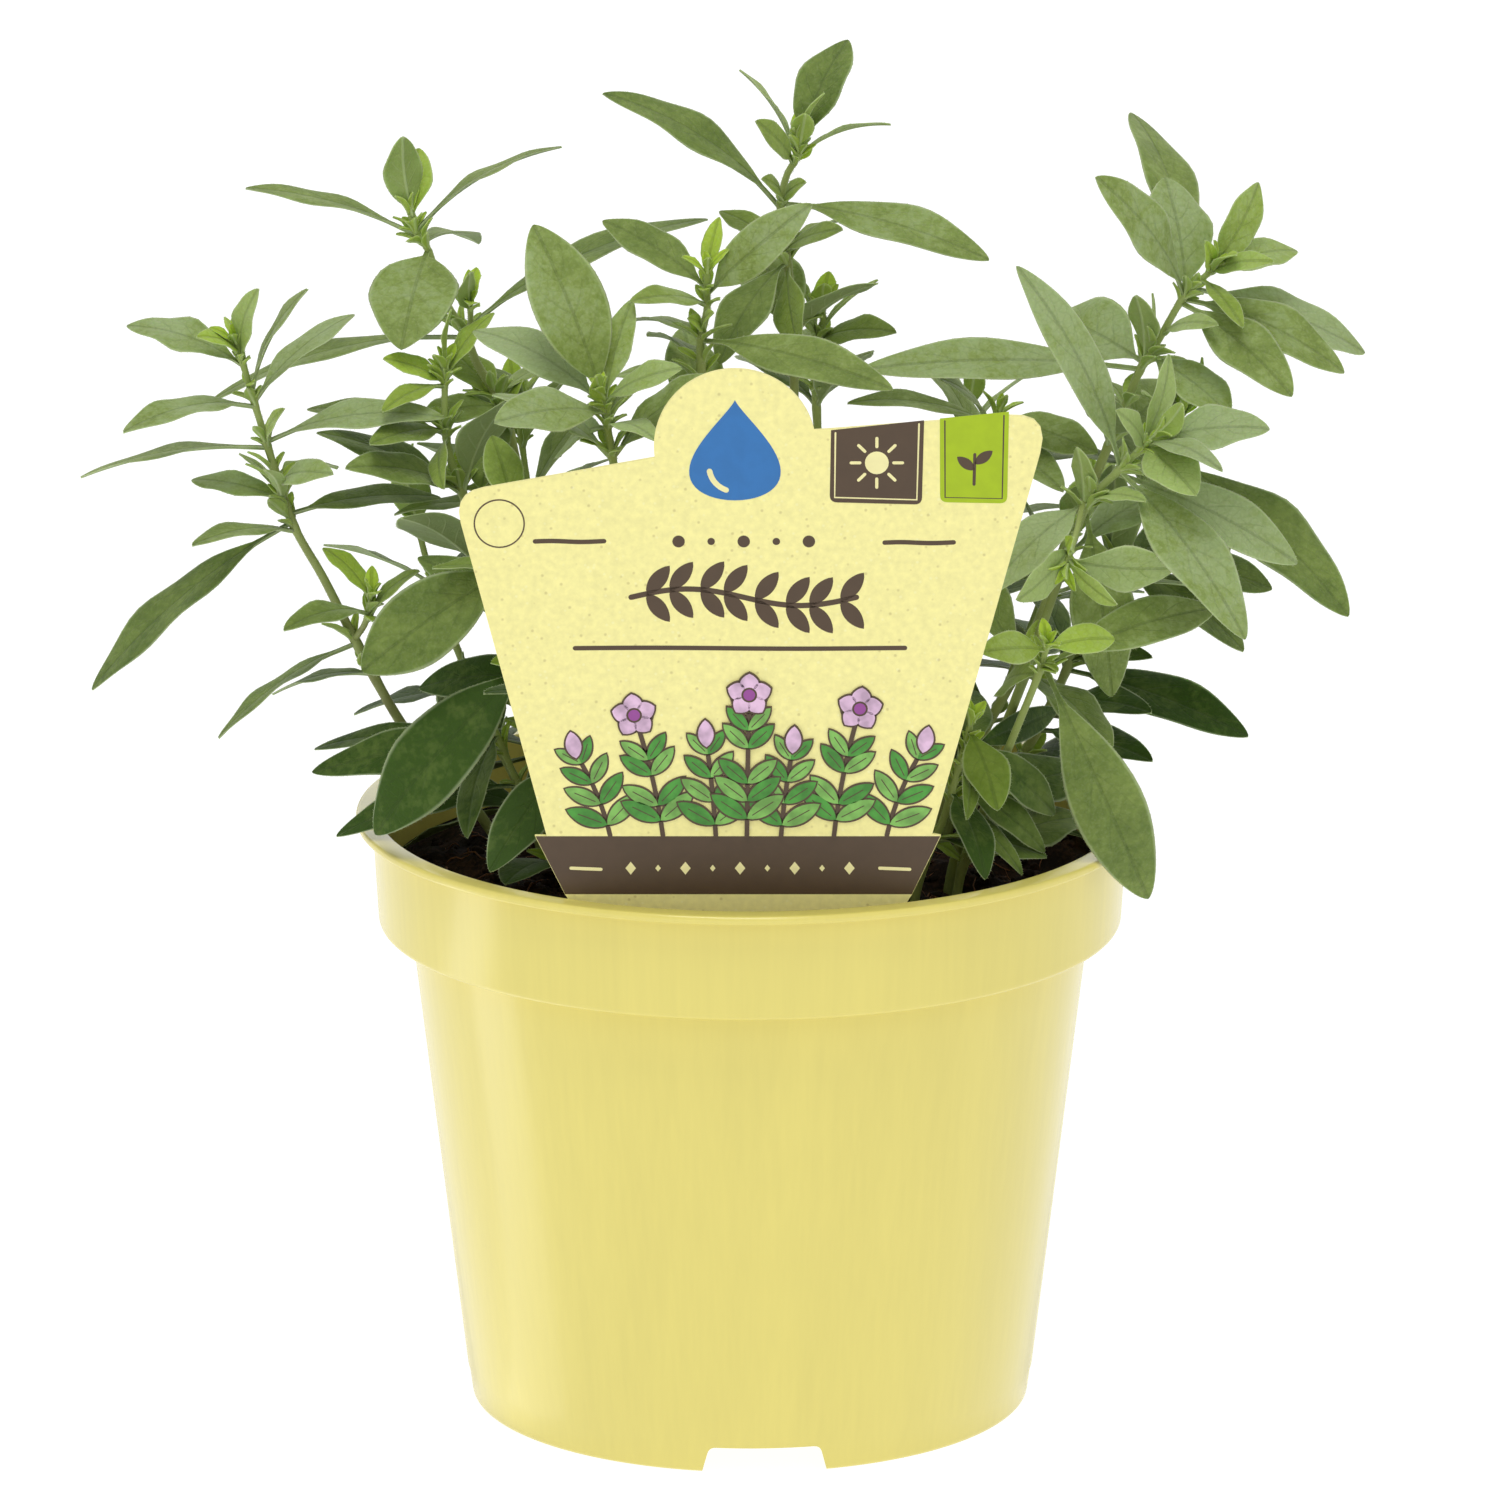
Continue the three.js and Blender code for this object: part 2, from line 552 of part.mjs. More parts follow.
// The three directions of a leaf: along it, out of its upper face, and across it
function leafFrame(leaf, tip) {
  const along = tip.clone().sub(leaf.base).normalize();
  let up = leaf.stemway.clone().addScaledVector(along, -leaf.stemway.dot(along));
  if (up.length() < 0.2) {
    up = new THREE.Vector3(leaf.base.x, leaf.base.y, 60);
    up.addScaledVector(along, -up.dot(along));
  }
  up.normalize();
  const side = new THREE.Vector3().crossVectors(along, up);
  const roll = THREE.MathUtils.degToRad(leaf.roll);
  const across = side.clone().multiplyScalar(Math.cos(roll)).addScaledVector(up, Math.sin(roll));
  const face = up.clone().multiplyScalar(Math.cos(roll)).addScaledVector(side, -Math.sin(roll));
  return { along, across, face };
}

// The tip of a leaf after a bend, up and then sideways
function bentTip(leaf, [lift, swing]) {
  const { across, face } = leafFrame(leaf, leaf.tip);
  const reach = leaf.tip.clone().sub(leaf.base);
  reach.applyAxisAngle(across, THREE.MathUtils.degToRad(lift));
  reach.applyAxisAngle(face, THREE.MathUtils.degToRad(swing));
  return reach.add(leaf.base);
}

// Share of the full width along a leaf of elliptic outline with a blunt tip
const OUTLINE_LARGE = [[0, 0], [0.12, 0.1], [0.38, 0.88], [0.68, 1], [0.92, 0.56]];
const OUTLINE_MEDIUM = [[0, 0], [0.32, 0.85], [0.66, 1], [0.92, 0.55]];
const OUTLINE_SMALL = [[0, 0], [0.48, 1], [0.88, 0.6]];

function outlineFor(length) {
  if (length > 24) return OUTLINE_LARGE;
  return length > 12 ? OUTLINE_MEDIUM : OUTLINE_SMALL;
}

// A leaf blade folded a little along its midrib and arched from base to tip
function leafGeometry(leaf, tip, grow, from) {
  const { across, face } = leafFrame(leaf, tip);
  const reach = tip.clone().sub(leaf.base);
  const length = reach.length();
  const centre = (s) => leaf.base.clone().addScaledVector(reach, s)
    .addScaledVector(face, leaf.arch * length * 4 * s * (1 - s));
  const rings = outlineFor(length).filter(([s]) => s >= from).map(([s, share]) => {
    const half = Math.max(PETIOLE, (leaf.width / 2) * share);
    const rise = FOLD * (half - PETIOLE) + 0.1 + grow;
    const middle = centre(s);
    return [
      middle.clone().addScaledVector(across, -half - 1.5 * grow).addScaledVector(face, rise),
      middle.clone().addScaledVector(face, -BLADE - 1.2 * grow),
      middle.clone().addScaledVector(across, half + 1.5 * grow).addScaledVector(face, rise),
    ];
  });
  return loft(rings, centre(1 + grow / length));
}

// Where a leaf springs from its stem: just off the stem's middle, on the leaf's own side
function leafRoot(curve, t, towards, rooted) {
  const middle = curve.getPoint(t);
  const stemway = tangentAt(curve, t);
  const out = towards.clone().sub(middle);
  out.addScaledVector(stemway, -out.dot(stemway)).normalize();
  return middle.addScaledVector(out, ROOT_OFFSET * stemRadius(t, rooted));
}

// Leaves typed in a stem's table. Those of one node stand a little apart along the stem.
function tableLeaves(axis, curve, rooted) {
  const length = curve.getLength();
  const used = [];
  return (axis.leaves ?? []).map(([node, x, y, z, width, roll]) => {
    let t = node;
    for (let step = 1; used.some((other) => Math.abs(other - t) * length < NODE_STEP * 0.95); step += 1) {
      const shift = node > 0.93 ? -step : (step % 2 ? 1 : -1) * Math.ceil(step / 2);
      t = node + (shift * NODE_STEP) / length;
    }
    used.push(t);
    const tip = new THREE.Vector3(x, y, z);
    const arch = 0.05 + 0.05 * random();
    const base = leafRoot(curve, t, tip, rooted);
    return { base, stemway: tangentAt(curve, t), tip, width, roll, arch };
  });
}

// Opposite pairs up a stem, each pair a quarter turn from the last, smaller towards the tip
function ruleLeaves(axis, curve, rooted) {
  if (!axis.pairs) return [];
  const [from, to, count, length, width] = axis.pairs;
  const leaves = [];
  const turn = random() * Math.PI;
  for (let pair = 0; pair < count; pair += 1) {
    const share = pair / Math.max(1, count - 1);
    const t = Math.min(0.97, from + (to - from) * share);
    const stemway = tangentAt(curve, t);
    const first = new THREE.Vector3(1, 0, 0).addScaledVector(stemway, -stemway.x).normalize();
    first.applyAxisAngle(stemway, turn + (pair * Math.PI) / 2 + spread(0.2));
    const size = to < 1 ? 1 : 1 - 0.62 * share ** 3;
    for (const way of [1, -1]) {
      const pitch = THREE.MathUtils.degToRad(15 + (to < 1 ? 15 : 50 * share ** 2) + spread(9));
      const reach = first.clone().multiplyScalar(way * Math.cos(pitch));
      reach.addScaledVector(stemway, Math.sin(pitch));
      reach.z -= 0.25 * (1 - share);
      const long = length * size * (1 + spread(0.12));
      const tip = reach.normalize().multiplyScalar(long).add(curve.getPoint(t));
      leaves.push({
        base: leafRoot(curve, t, tip, rooted),
        stemway,
        tip,
        width: width * size * (1 + spread(0.1)),
        roll: spread(14),
        arch: 0.05 + 0.05 * random(),
      });
    }
  }
  return leaves;
}

// Boxes that are far apart spare the slow test for a crossing
function boxOf(geometry) {
  geometry.computeBoundingBox();
  return geometry.boundingBox;
}

function crosses(probe, probeBox, thing) {
  if (!probeBox.intersectsBox(thing.box)) return false;
  const shared = probe.intersect(thing.solid);
  const found = !shared.isEmpty();
  shared.delete();
  return found;
}

// Tries the bends in turn and returns the first tip that lies clear, or nothing
function clearTip(leaf, shoot, things) {
  for (const bend of BENDS) {
    const tip = bentTip(leaf, bend);
    const whole = leafGeometry(leaf, tip, CLEAR, 0);
    const outer = leafGeometry(leaf, tip, 0.15, 0.1);
    const box = boxOf(whole);
    const wholeSolid = solid(whole);
    const outerSolid = solid(outer);
    const blocked = things.some((thing) => {
      const probe = thing.shoot === shoot ? outerSolid : wholeSolid;
      return crosses(probe, box, thing);
    });
    wholeSolid.delete();
    outerSolid.delete();
    if (!blocked) return tip;
  }
  return null;
}

function nodeOf(name, manifold, colour, roughness) {
  const material = new THREE.MeshStandardMaterial({ color: colour, roughness, metalness: 0 });
  const mesh = new THREE.Mesh(geometryOf(manifold), material);
  mesh.name = name;
  return mesh;
}

// Grows every shoot clear of what stands already. A leaf that finds no clear place is left out.
function growPlant(standing) {
  const things = standing.map((manifold) => {
    return { shoot: '', solid: manifold, box: boxOf(geometryOf(manifold)) };
  });
  const bodies = {};
  const table = [];
  const rule = [];
  for (const [shoot, axes] of Object.entries(SHOOTS)) {
    bodies[shoot] = [];
    axes.forEach((axis, index) => {
      const stem = stemGeometry(axis.stem, 0, index === 0);
      const stemSolid = solid(stem);
      bodies[shoot].push(stemSolid);
      things.push({ shoot, solid: stemSolid, box: boxOf(stem) });
      const curve = curveOf(axis.stem);
      table.push(...tableLeaves(axis, curve, index === 0).map((leaf) => ({ shoot, leaf })));
      rule.push(...ruleLeaves(axis, curve, index === 0).map((leaf) => ({ shoot, leaf })));
    });
  }
  for (const { shoot, leaf } of [...table, ...rule]) {
    const tip = clearTip(leaf, shoot, things);
    if (tip) {
      const blade = leafGeometry(leaf, tip, 0, 0);
      const bladeSolid = solid(blade);
      bodies[shoot].push(bladeSolid);
      things.push({ shoot, solid: bladeSolid, box: boxOf(blade) });
    }
  }
  return Object.entries(bodies).map(([shoot, solids]) => {
    const joined = solids.reduce((whole, piece) => whole.add(piece));
    return nodeOf(shoot, joined, LEAF_COLOUR, 0.7);
  });
}

const plant = new THREE.Group();
const pot = potSolid();
const label = solid(labelGeometry(labelShape(), LABEL_THICKNESS));
const rooted = Object.values(SHOOTS).map((axes) => axes[0].stem);
const soil = soilSolid(rooted, [solid(stakeSlot())]);
plant.add(nodeOf('pot', pot, POT_COLOUR, 0.45));
plant.add(nodeOf('soil', soil, SOIL_COLOUR, 0.95));
plant.add(nodeOf('label', label, LABEL_COLOUR, 0.5));
plant.add(...growPlant([pot, soil, label]));

// The origin lies at the pot's foot, under the middle of the whole plant
const extent = new THREE.Box3().setFromObject(plant);
plant.position.set(-(extent.min.x + extent.max.x) / 2, -(extent.min.y + extent.max.y) / 2, 0);

export default plant;
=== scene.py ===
"""A potted mexican oregano, dressed for the camera around its solids: a moulded nursery pot, crumbly
peat, a printed plant label, and leafy stems with veins and fine hairs. Sizes are in millimetres
until a mesh is made, Z is up, and the front looks towards -Y."""

import math
import random

import bmesh
import bpy
import numpy as np
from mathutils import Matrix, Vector, geometry, kdtree, noise


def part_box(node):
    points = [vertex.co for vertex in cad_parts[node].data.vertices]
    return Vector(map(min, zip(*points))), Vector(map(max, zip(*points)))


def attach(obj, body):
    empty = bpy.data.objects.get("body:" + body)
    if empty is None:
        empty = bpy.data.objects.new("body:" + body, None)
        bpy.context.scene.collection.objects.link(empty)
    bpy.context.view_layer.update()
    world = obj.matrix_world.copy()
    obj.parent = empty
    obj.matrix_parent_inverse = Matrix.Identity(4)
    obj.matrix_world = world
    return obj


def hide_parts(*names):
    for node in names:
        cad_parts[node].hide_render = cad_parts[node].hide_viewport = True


bl_info = {
    "name": "Potted Oregano",
    "version": (1, 0, 0),
    "blender": (4, 5, 0),
    "location": "View3D > Sidebar > Oregano",
    "description": "Builds a potted mexican oregano around its solids",
    "category": "Add Mesh",
}

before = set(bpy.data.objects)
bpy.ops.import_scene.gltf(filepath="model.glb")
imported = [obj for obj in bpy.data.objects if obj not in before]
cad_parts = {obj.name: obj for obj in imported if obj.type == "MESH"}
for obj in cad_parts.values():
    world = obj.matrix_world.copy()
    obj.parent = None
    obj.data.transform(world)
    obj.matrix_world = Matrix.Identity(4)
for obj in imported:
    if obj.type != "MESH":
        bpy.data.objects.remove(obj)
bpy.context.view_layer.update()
MM = 0.001

# The pot's own sizes: its middle, lip radius and height read from its solid, the others given
POT_LOW, POT_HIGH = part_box("pot")
AXIS_X = (POT_LOW.x + POT_HIGH.x) / 2 / MM
AXIS_Y = (POT_LOW.y + POT_HIGH.y) / 2 / MM
LIP_RADIUS = (POT_HIGH.x - POT_LOW.x) / 2 / MM
POT_HEIGHT = POT_HIGH.z / MM
BASE_RADIUS = 46.4
TAPER = 0.119
WALL = 1.2
COLLAR_BOTTOM = 81.5
COLLAR_RADIUS = 61.5
COLLAR_TOP_RADIUS = 62.3
LIP_THICKNESS = 1.4
FLOOR_UNDERSIDE = 5.5
FLOOR_TOP = 6.7
FOOT_WIDTH = 1.8
SOIL_TOP = 91.5
SOIL_GAP = 0.35

# The label stands in the soil at the front and leans back a little
LABEL_THICKNESS = 0.8
LABEL_Y = -52.5
LABEL_Z = 97
LABEL_LEAN = math.radians(4)
TAB_CENTRE = (-2.4, 79.3)
TAB_RADIUS = 12.9

# Leaves and stems, as in their solids. The radii are at a stem's foot and tip.
ROOTED_RADII = (1.25, 0.62)
SIDE_SHOOT_RADII = (0.75, 0.55)
FOLD = 0.14
PETIOLE = 0.5
ROOT_OFFSET = 0.25
NODE_STEP = 1.5
LEAF_SEED = 20517
# Degrees up and sideways by which a solid's leaf may be bent aside, in the order that they are tried
BENDS = [
    (0, 0), (7, 0), (-7, 0), (0, 7), (0, -7), (14, 0), (-14, 0), (0, 14), (0, -14), (11, 11), (-11, 11),
    (11, -11), (-11, -11), (22, 0), (-22, 0), (0, 22), (0, -22), (20, 20), (-20, 20), (20, -20),
    (-20, -20), (34, 0), (-34, 0), (0, 34), (0, -34),
]
TIP_REACH = 0.06

# Every stem is a list of points from its root to its tip, in the pot's own frame. A leaf row says
# where it starts on its stem, from 0 to 1, where its tip is, how wide it is, and how many degrees
# it turns about its own midrib. Pairs say from where to where they stand, how many, how long and wide.
SHOOTS = {
    "shoot_left_outer": [
        {
            "stem": [
                (-40, 2, 66), (-41, 2, 92), (-57, 0, 114), (-65, 0, 129), (-70, 1, 139), (-75, 2, 148),
                (-79, 2, 161), (-81, 2, 168), (-83, 0, 176), (-84, -2, 180),
            ],
            "leaves": [
                (0.56, -108, -6, 122, 12, 20), (0.78, -102, -12, 167, 9, 10), (0.88, -102, 4, 181, 10, -5),
                (0.67, -110, 6, 155, 9, -5), (0.67, -50, -2, 167, 9, -15), (0.78, -65, 12, 181, 9, 5),
                (0.33, -87, -14, 116, 8, 5), (0.29, -79, 10, 117, 6, -5), (0.56, -51, 12, 150, 8, -20),
                (0.58, -92, 12, 153, 7, 5), (0.57, -91, -12, 148, 7, 25), (0.59, -68, -12, 160, 6, -30),
                (0.59, -68, 12, 155, 7, -10), (0.82, -72, -8, 190, 6, -15), (0.9, -80, -8, 190, 6, -45),
                (0.94, -90, -8, 182, 5, 15),
            ],
        },
        {
            "stem": [(-65, 0, 129), (-63, -4, 133), (-62, -6, 138)],
            "leaves": [
                (0.7, -76, -17, 135, 7, -10), (0.95, -70, -2, 145, 6, -10), (0.95, -54, -13, 144, 5, -20),
            ],
        },
    ],
    "shoot_upper_left": [
        {
            "stem": [
                (-16, 12, 66), (-17, 12, 92), (-36, 15, 142), (-38, 17, 152), (-41, 18, 164),
                (-45, 19, 171), (-47, 20, 176), (-50, 20, 181), (-53, 20, 190), (-55, 20, 193),
                (-56, 20, 197),
            ],
            "leaves": [
                (0.8, -57, 0, 178, 15, 30), (0.59, -90, 28, 162, 9, 10), (0.6, -7, 34, 192, 10, -15),
                (0.9, -83, 22, 200, 8, 0), (0.9, -31, 22, 207, 8, 0), (0.97, -57, 16, 210, 7, -5),
                (0.97, -54, 25, 207, 7, -5), (0.84, -45, 38, 187, 7, -35), (0.4, -54, 8, 164, 8, 40),
                (0.4, -50, 26, 172, 8, -10), (0.39, -44, 2, 154, 8, 0), (0.4, -31, 30, 169, 7, -10),
            ],
            "pairs": (0.24, 0.36, 2, 21, 9),
        },
        {
            "stem": [(-47, 20, 176), (-46, 15, 179), (-46, 12, 183)],
            "leaves": [(0.8, -48, 8, 190, 5, -10), (0.8, -45, 16, 188, 5, 45)],
        },
    ],
    "shoot_left_inner": [
        {
            "stem": [
                (-26, 0, 66), (-27, 0, 92), (-44, 2, 137), (-47, 4, 152), (-49, 4, 158), (-50, 4, 164),
                (-50, 4, 171), (-50, 4, 174),
            ],
            "leaves": [
                (0.45, -66, -8, 160, 9, 40), (0.69, -73, 16, 164, 8, 10), (0.69, -62, -8, 164, 7, 20),
                (0.45, -36, 16, 146, 8, -65), (0.67, -50, -10, 157, 5, -45), (0.89, -60, 2, 176, 6, 25),
                (0.86, -60, -6, 169, 5, 10), (0.9, -42, 9, 182, 6, 0),
            ],
            "pairs": (0.2, 0.45, 3, 24, 11),
        },
    ],
    "shoot_mid_left": [
        {
            "stem": [
                (-12, -12, 66), (-13, -13, 92), (-18, -20, 130), (-22, -24, 164), (-23, -25, 171),
                (-23, -25, 173), (-24, -26, 177),
            ],
            "leaves": [
                (0.89, -35, -18, 203, 13, -5), (0.86, -41, -38, 175, 10, 30), (0.9, -45, -8, 183, 10, -5),
                (0.95, -22, -22, 193, 6, -10), (0.91, -11, -34, 183, 6, -20), (0.7, -15, -38, 172, 6, -5),
                (0.67, -31, -12, 163, 8, 35), (0.77, -18, -12, 176, 8, 25),
            ],
            "pairs": (0.28, 0.54, 3, 24, 11),
        },
    ],
    "shoot_middle": [
        {
            "stem": [
                (-4, -6, 66), (-4, -7, 92), (-6, -8, 140), (-8, -10, 178), (-8, -10, 182), (-7, -10, 187),
                (-7, -11, 191), (-7, -12, 194),
            ],
            "leaves": [
                (0.57, 23, -32, 179, 9, -40), (0.82, 10, -16, 206, 8, -50), (0.86, -24, -2, 200, 8, 10),
                (0.75, -20, -20, 189, 6, 10), (0.57, -19, 4, 182, 7, 0), (0.43, -16, 6, 181, 6, -25),
                (0.42, -22, -2, 174, 8, 5),
            ],
            "pairs": (0.24, 0.36, 2, 23, 10),
        },
    ],
    "shoot_tallest": [
        {
            "stem": [
                (6, 8, 66), (6, 9, 92), (7, 10, 140), (7, 10, 182), (6, 10, 191), (5, 10, 199),
                (6, 9, 205), (8, 8, 209), (8, 8, 211),
            ],
            "leaves": [
                (0.91, 16, 17, 226, 11, 5), (0.64, -24, 8, 219, 10, 15), (0.64, 39, 0, 193, 11, -15),
                (0.49, -5, -2, 176, 10, 10), (0.48, 8, 0, 178, 8, -50), (0.86, 2, 12, 224, 7, -25),
                (0.89, 23, 12, 213, 6, 25), (0.82, 1, -4, 217, 5, 45), (0.94, 12, 4, 220, 5, -20),
                (0.51, -5, 18, 197, 7, 5), (0.52, 15, -4, 199, 5, -40), (0.53, 16, 16, 196, 5, 5),
            ],
            "pairs": (0.22, 0.36, 2, 23, 10),
        },
    ],
    "shoot_small_behind": [
        {
            "stem": [
                (12, 20, 66), (12, 21, 92), (12, 22, 140), (11, 22, 174), (12, 22, 177), (12, 21, 180),
            ],
            "leaves": [(0.6, 24, 12, 178, 7, -35), (0.6, 2, 34, 170, 7, 20), (0.63, 7, 22, 186, 5, 15)],
            "pairs": (0.34, 0.52, 2, 21, 9),
        },
    ],
    "shoot_upper_right": [
        {
            "stem": [
                (28, 3, 66), (29, 3, 92), (45, 3, 125), (57, 2, 157), (61, 1, 167), (64, 0, 175),
                (67, 0, 180), (71, 0, 187), (74, 0, 190), (76, -1, 192),
            ],
            "leaves": [
                (0.78, 56, -14, 210, 10, 45), (0.78, 68, 12, 204, 12, 35), (0.78, 97, -4, 175, 11, -35),
                (0.78, 63, 34, 210, 11, 20), (0.78, 88, -16, 174, 10, -45), (0.79, 101, 10, 175, 11, -20),
                (0.55, 18, -6, 176, 9, 30), (0.57, 50, 18, 179, 13, 60), (0.97, 83, 4, 205, 8, -10),
                (0.97, 90, 6, 196, 8, 20), (0.97, 85, -10, 195, 4.5, -65), (0.58, 63, -4, 188, 6, -30),
                (0.58, 78, -12, 170, 10, -35), (0.58, 71, 12, 166, 8, -70), (0.46, 57, 10, 171, 5, -10),
            ],
            "pairs": (0.26, 0.38, 2, 23, 10),
        },
    ],
    "shoot_right_front": [
        {
            "stem": [
                (32, -11, 66), (33, -12, 92), (44, -17, 125), (53, -22, 153), (55, -22, 158),
                (60, -21, 163), (63, -21, 166), (66, -22, 169),
            ],
            "leaves": [
                (0.71, 80, -38, 139, 12, -50), (0.96, 84, -26, 171, 10, -20), (0.71, 43, -26, 198, 9, 55),
                (0.71, 89, -20, 147, 10, -55), (0.57, 40, -36, 144, 10, -15), (0.91, 72, -34, 162, 9, -50),
                (0.89, 59, -34, 176, 5, 40), (0.93, 76, -38, 167, 5, -45), (0.95, 68, -16, 181, 6, 0),
                (0.97, 71, -26, 175, 5, 15), (0.97, 69, -18, 174, 5, -20), (0.71, 73, -10, 155, 6, 0),
                (0.56, 53, -26, 168, 5, -20), (0.57, 64, -30, 160, 5, -45), (0.55, 59, -18, 124, 11, -90),
            ],
            "pairs": (0.2, 0.4, 3, 23, 11),
        },
        {
            "stem": [(54, -22, 158), (53, -28, 155), (51, -33, 150)],
            "leaves": [(0.93, 69, -30, 149, 9, 30), (0.95, 43, -40, 146, 7, -45)],
        },
    ],
    "shoot_right_low": [
        {
            "stem": [(34, -20, 66), (34, -20, 92), (40, -26, 112), (47, -34, 133), (48, -37, 138)],
            "leaves": [
                (0.79, 65, -26, 92, 12, -50), (0.77, 76, -14, 138, 9, -10), (0.96, 59, -34, 138, 6, -10),
                (0.96, 37, -46, 139, 6, 20), (0.73, 41, -20, 126, 8, 55),
            ],
            "pairs": (0.3, 0.56, 2, 24, 12),
        },
    ],
    "shoot_right_back": [
        {
            "stem": [(38, 10, 66), (39, 10, 92), (50, 9, 116), (59, 8, 138), (67, 7, 156), (71, 6, 166)],
            "leaves": [
                (0.85, 98, -8, 135, 14, -25), (0.62, 81, -4, 128, 12, -20), (0.62, 86, 6, 136, 11, -25),
                (0.45, 82, -2, 113, 11, -30), (0.85, 56, 22, 165, 9, 20), (0.39, 67, -6, 116, 8, -45),
                (0.36, 66, -10, 111, 8, -40), (0.45, 66, -4, 127, 5, -50), (0.96, 74, 8, 175, 6, 0),
                (0.96, 70, 0, 176, 6, 0),
            ],
            "pairs": (0.3, 0.75, 4, 24, 12),
        },
    ],
    "shoot_mid_right": [
        {
            "stem": [(16, 10, 66), (16, 11, 92), (26, 12, 125), (36, 12, 150), (41, 12, 165)],
            "leaves": [
                (0.97, 57, 2, 160, 9, -35), (0.97, 16, 8, 167, 7, 10), (0.96, 31, -4, 174, 5, 25),
                (0.9, 51, -6, 158, 8, -25),
            ],
            "pairs": (0.35, 0.85, 4, 25, 11),
        },
    ],
    "shoot_left_low": [
        {
            "stem": [
                (-20, -19, 66), (-21, -20, 92), (-27, -24, 112), (-33, -26, 132), (-37, -27, 150),
                (-38, -28, 158),
            ],
            "leaves": [
                (0.79, -63, -28, 131, 14, 50), (0.62, -61, -30, 104, 14, 50), (0.45, -42, -45, 102, 9, 30),
                (0.65, -54, -20, 148, 9, 15), (0.57, -54, -16, 125, 9, 25), (0.53, -49, -34, 127, 5, 25),
                (0.56, -42, -30, 133, 5, 25),
            ],
            "pairs": (0.76, 0.96, 2, 17, 7),
        },
    ],
    "shoot_left_rim": [
        {
            "stem": [(-30, -7, 66), (-31, -8, 92), (-37, -11, 105), (-42, -14, 118)],
            "leaves": [
                (0.93, -72, -6, 108, 9, 25), (0.73, -67, -16, 97, 9, 15), (0.96, -46, -32, 104, 7, -10),
                (0.93, -70, 8, 111, 6, 5), (0.98, -47, -16, 131, 6, 0),
            ],
            "pairs": (0.35, 0.62, 2, 21, 10),
        },
    ],
    "shoot_right_rim": [
        {
            "stem": [(26, -24, 66), (27, -25, 92), (32, -29, 108), (36, -32, 124)],
            "leaves": [
                (0.96, 40, -44, 112, 8, -10), (0.73, 38, -46, 101, 7, 0), (0.94, 51, -24, 110, 7, -45),
                (0.77, 48, -30, 101, 6, -30), (0.96, 52, -14, 104, 5, -50), (0.96, 49, -12, 119, 8, 0),
                (0.69, 45, -38, 101, 5, -5), (0.98, 38, -34, 135, 5, 0),
            ],
            "pairs": (0.25, 0.55, 2, 21, 9),
        },
    ],
    "shoot_back_1": [
        {
            "stem": [(-22, 12, 66), (-23, 13, 92), (-31, 22, 118), (-36, 29, 142), (-39, 33, 162)],
            "pairs": (0.38, 1, 7, 25, 11),
        },
    ],
    "shoot_back_2": [
        {
            "stem": [(-10, 22, 66), (-10, 23, 92), (-14, 35, 114), (-19, 46, 137)],
            "pairs": (0.42, 1, 4, 25, 11),
        },
    ],
    "shoot_back_3": [
        {
            "stem": [(6, 28, 66), (6, 29, 92), (8, 40, 116), (12, 50, 141)],
            "pairs": (0.42, 1, 4, 24, 10),
        },
    ],
    "shoot_back_4": [
        {
            "stem": [(22, 22, 66), (22, 23, 92), (27, 30, 117), (33, 37, 142), (37, 41, 160)],
            "pairs": (0.38, 1, 7, 25, 11),
        },
    ],
    "shoot_back_5": [
        {
            "stem": [(32, 16, 66), (33, 17, 92), (44, 24, 118), (57, 30, 150)],
            "pairs": (0.34, 1, 7, 24, 10),
        },
    ],
    "shoot_back_6": [
        {
            "stem": [(-34, 8, 66), (-35, 9, 92), (-44, 15, 112), (-52, 19, 132), (-57, 21, 151)],
            "pairs": (0.32, 1, 7, 23, 10),
        },
    ],
    "shoot_front_1": [
        {
            "stem": [(-5, -22, 66), (-5, -23, 92), (-6, -30, 118), (-8, -34, 142)],
            "pairs": (0.46, 1, 3, 18, 7),
        },
    ],
    "shoot_front_2": [
        {
            "stem": [(12, -18, 66), (12, -19, 92), (17, -26, 120), (20, -28, 148)],
            "pairs": (0.46, 1, 3, 18, 7),
        },
    ],
}

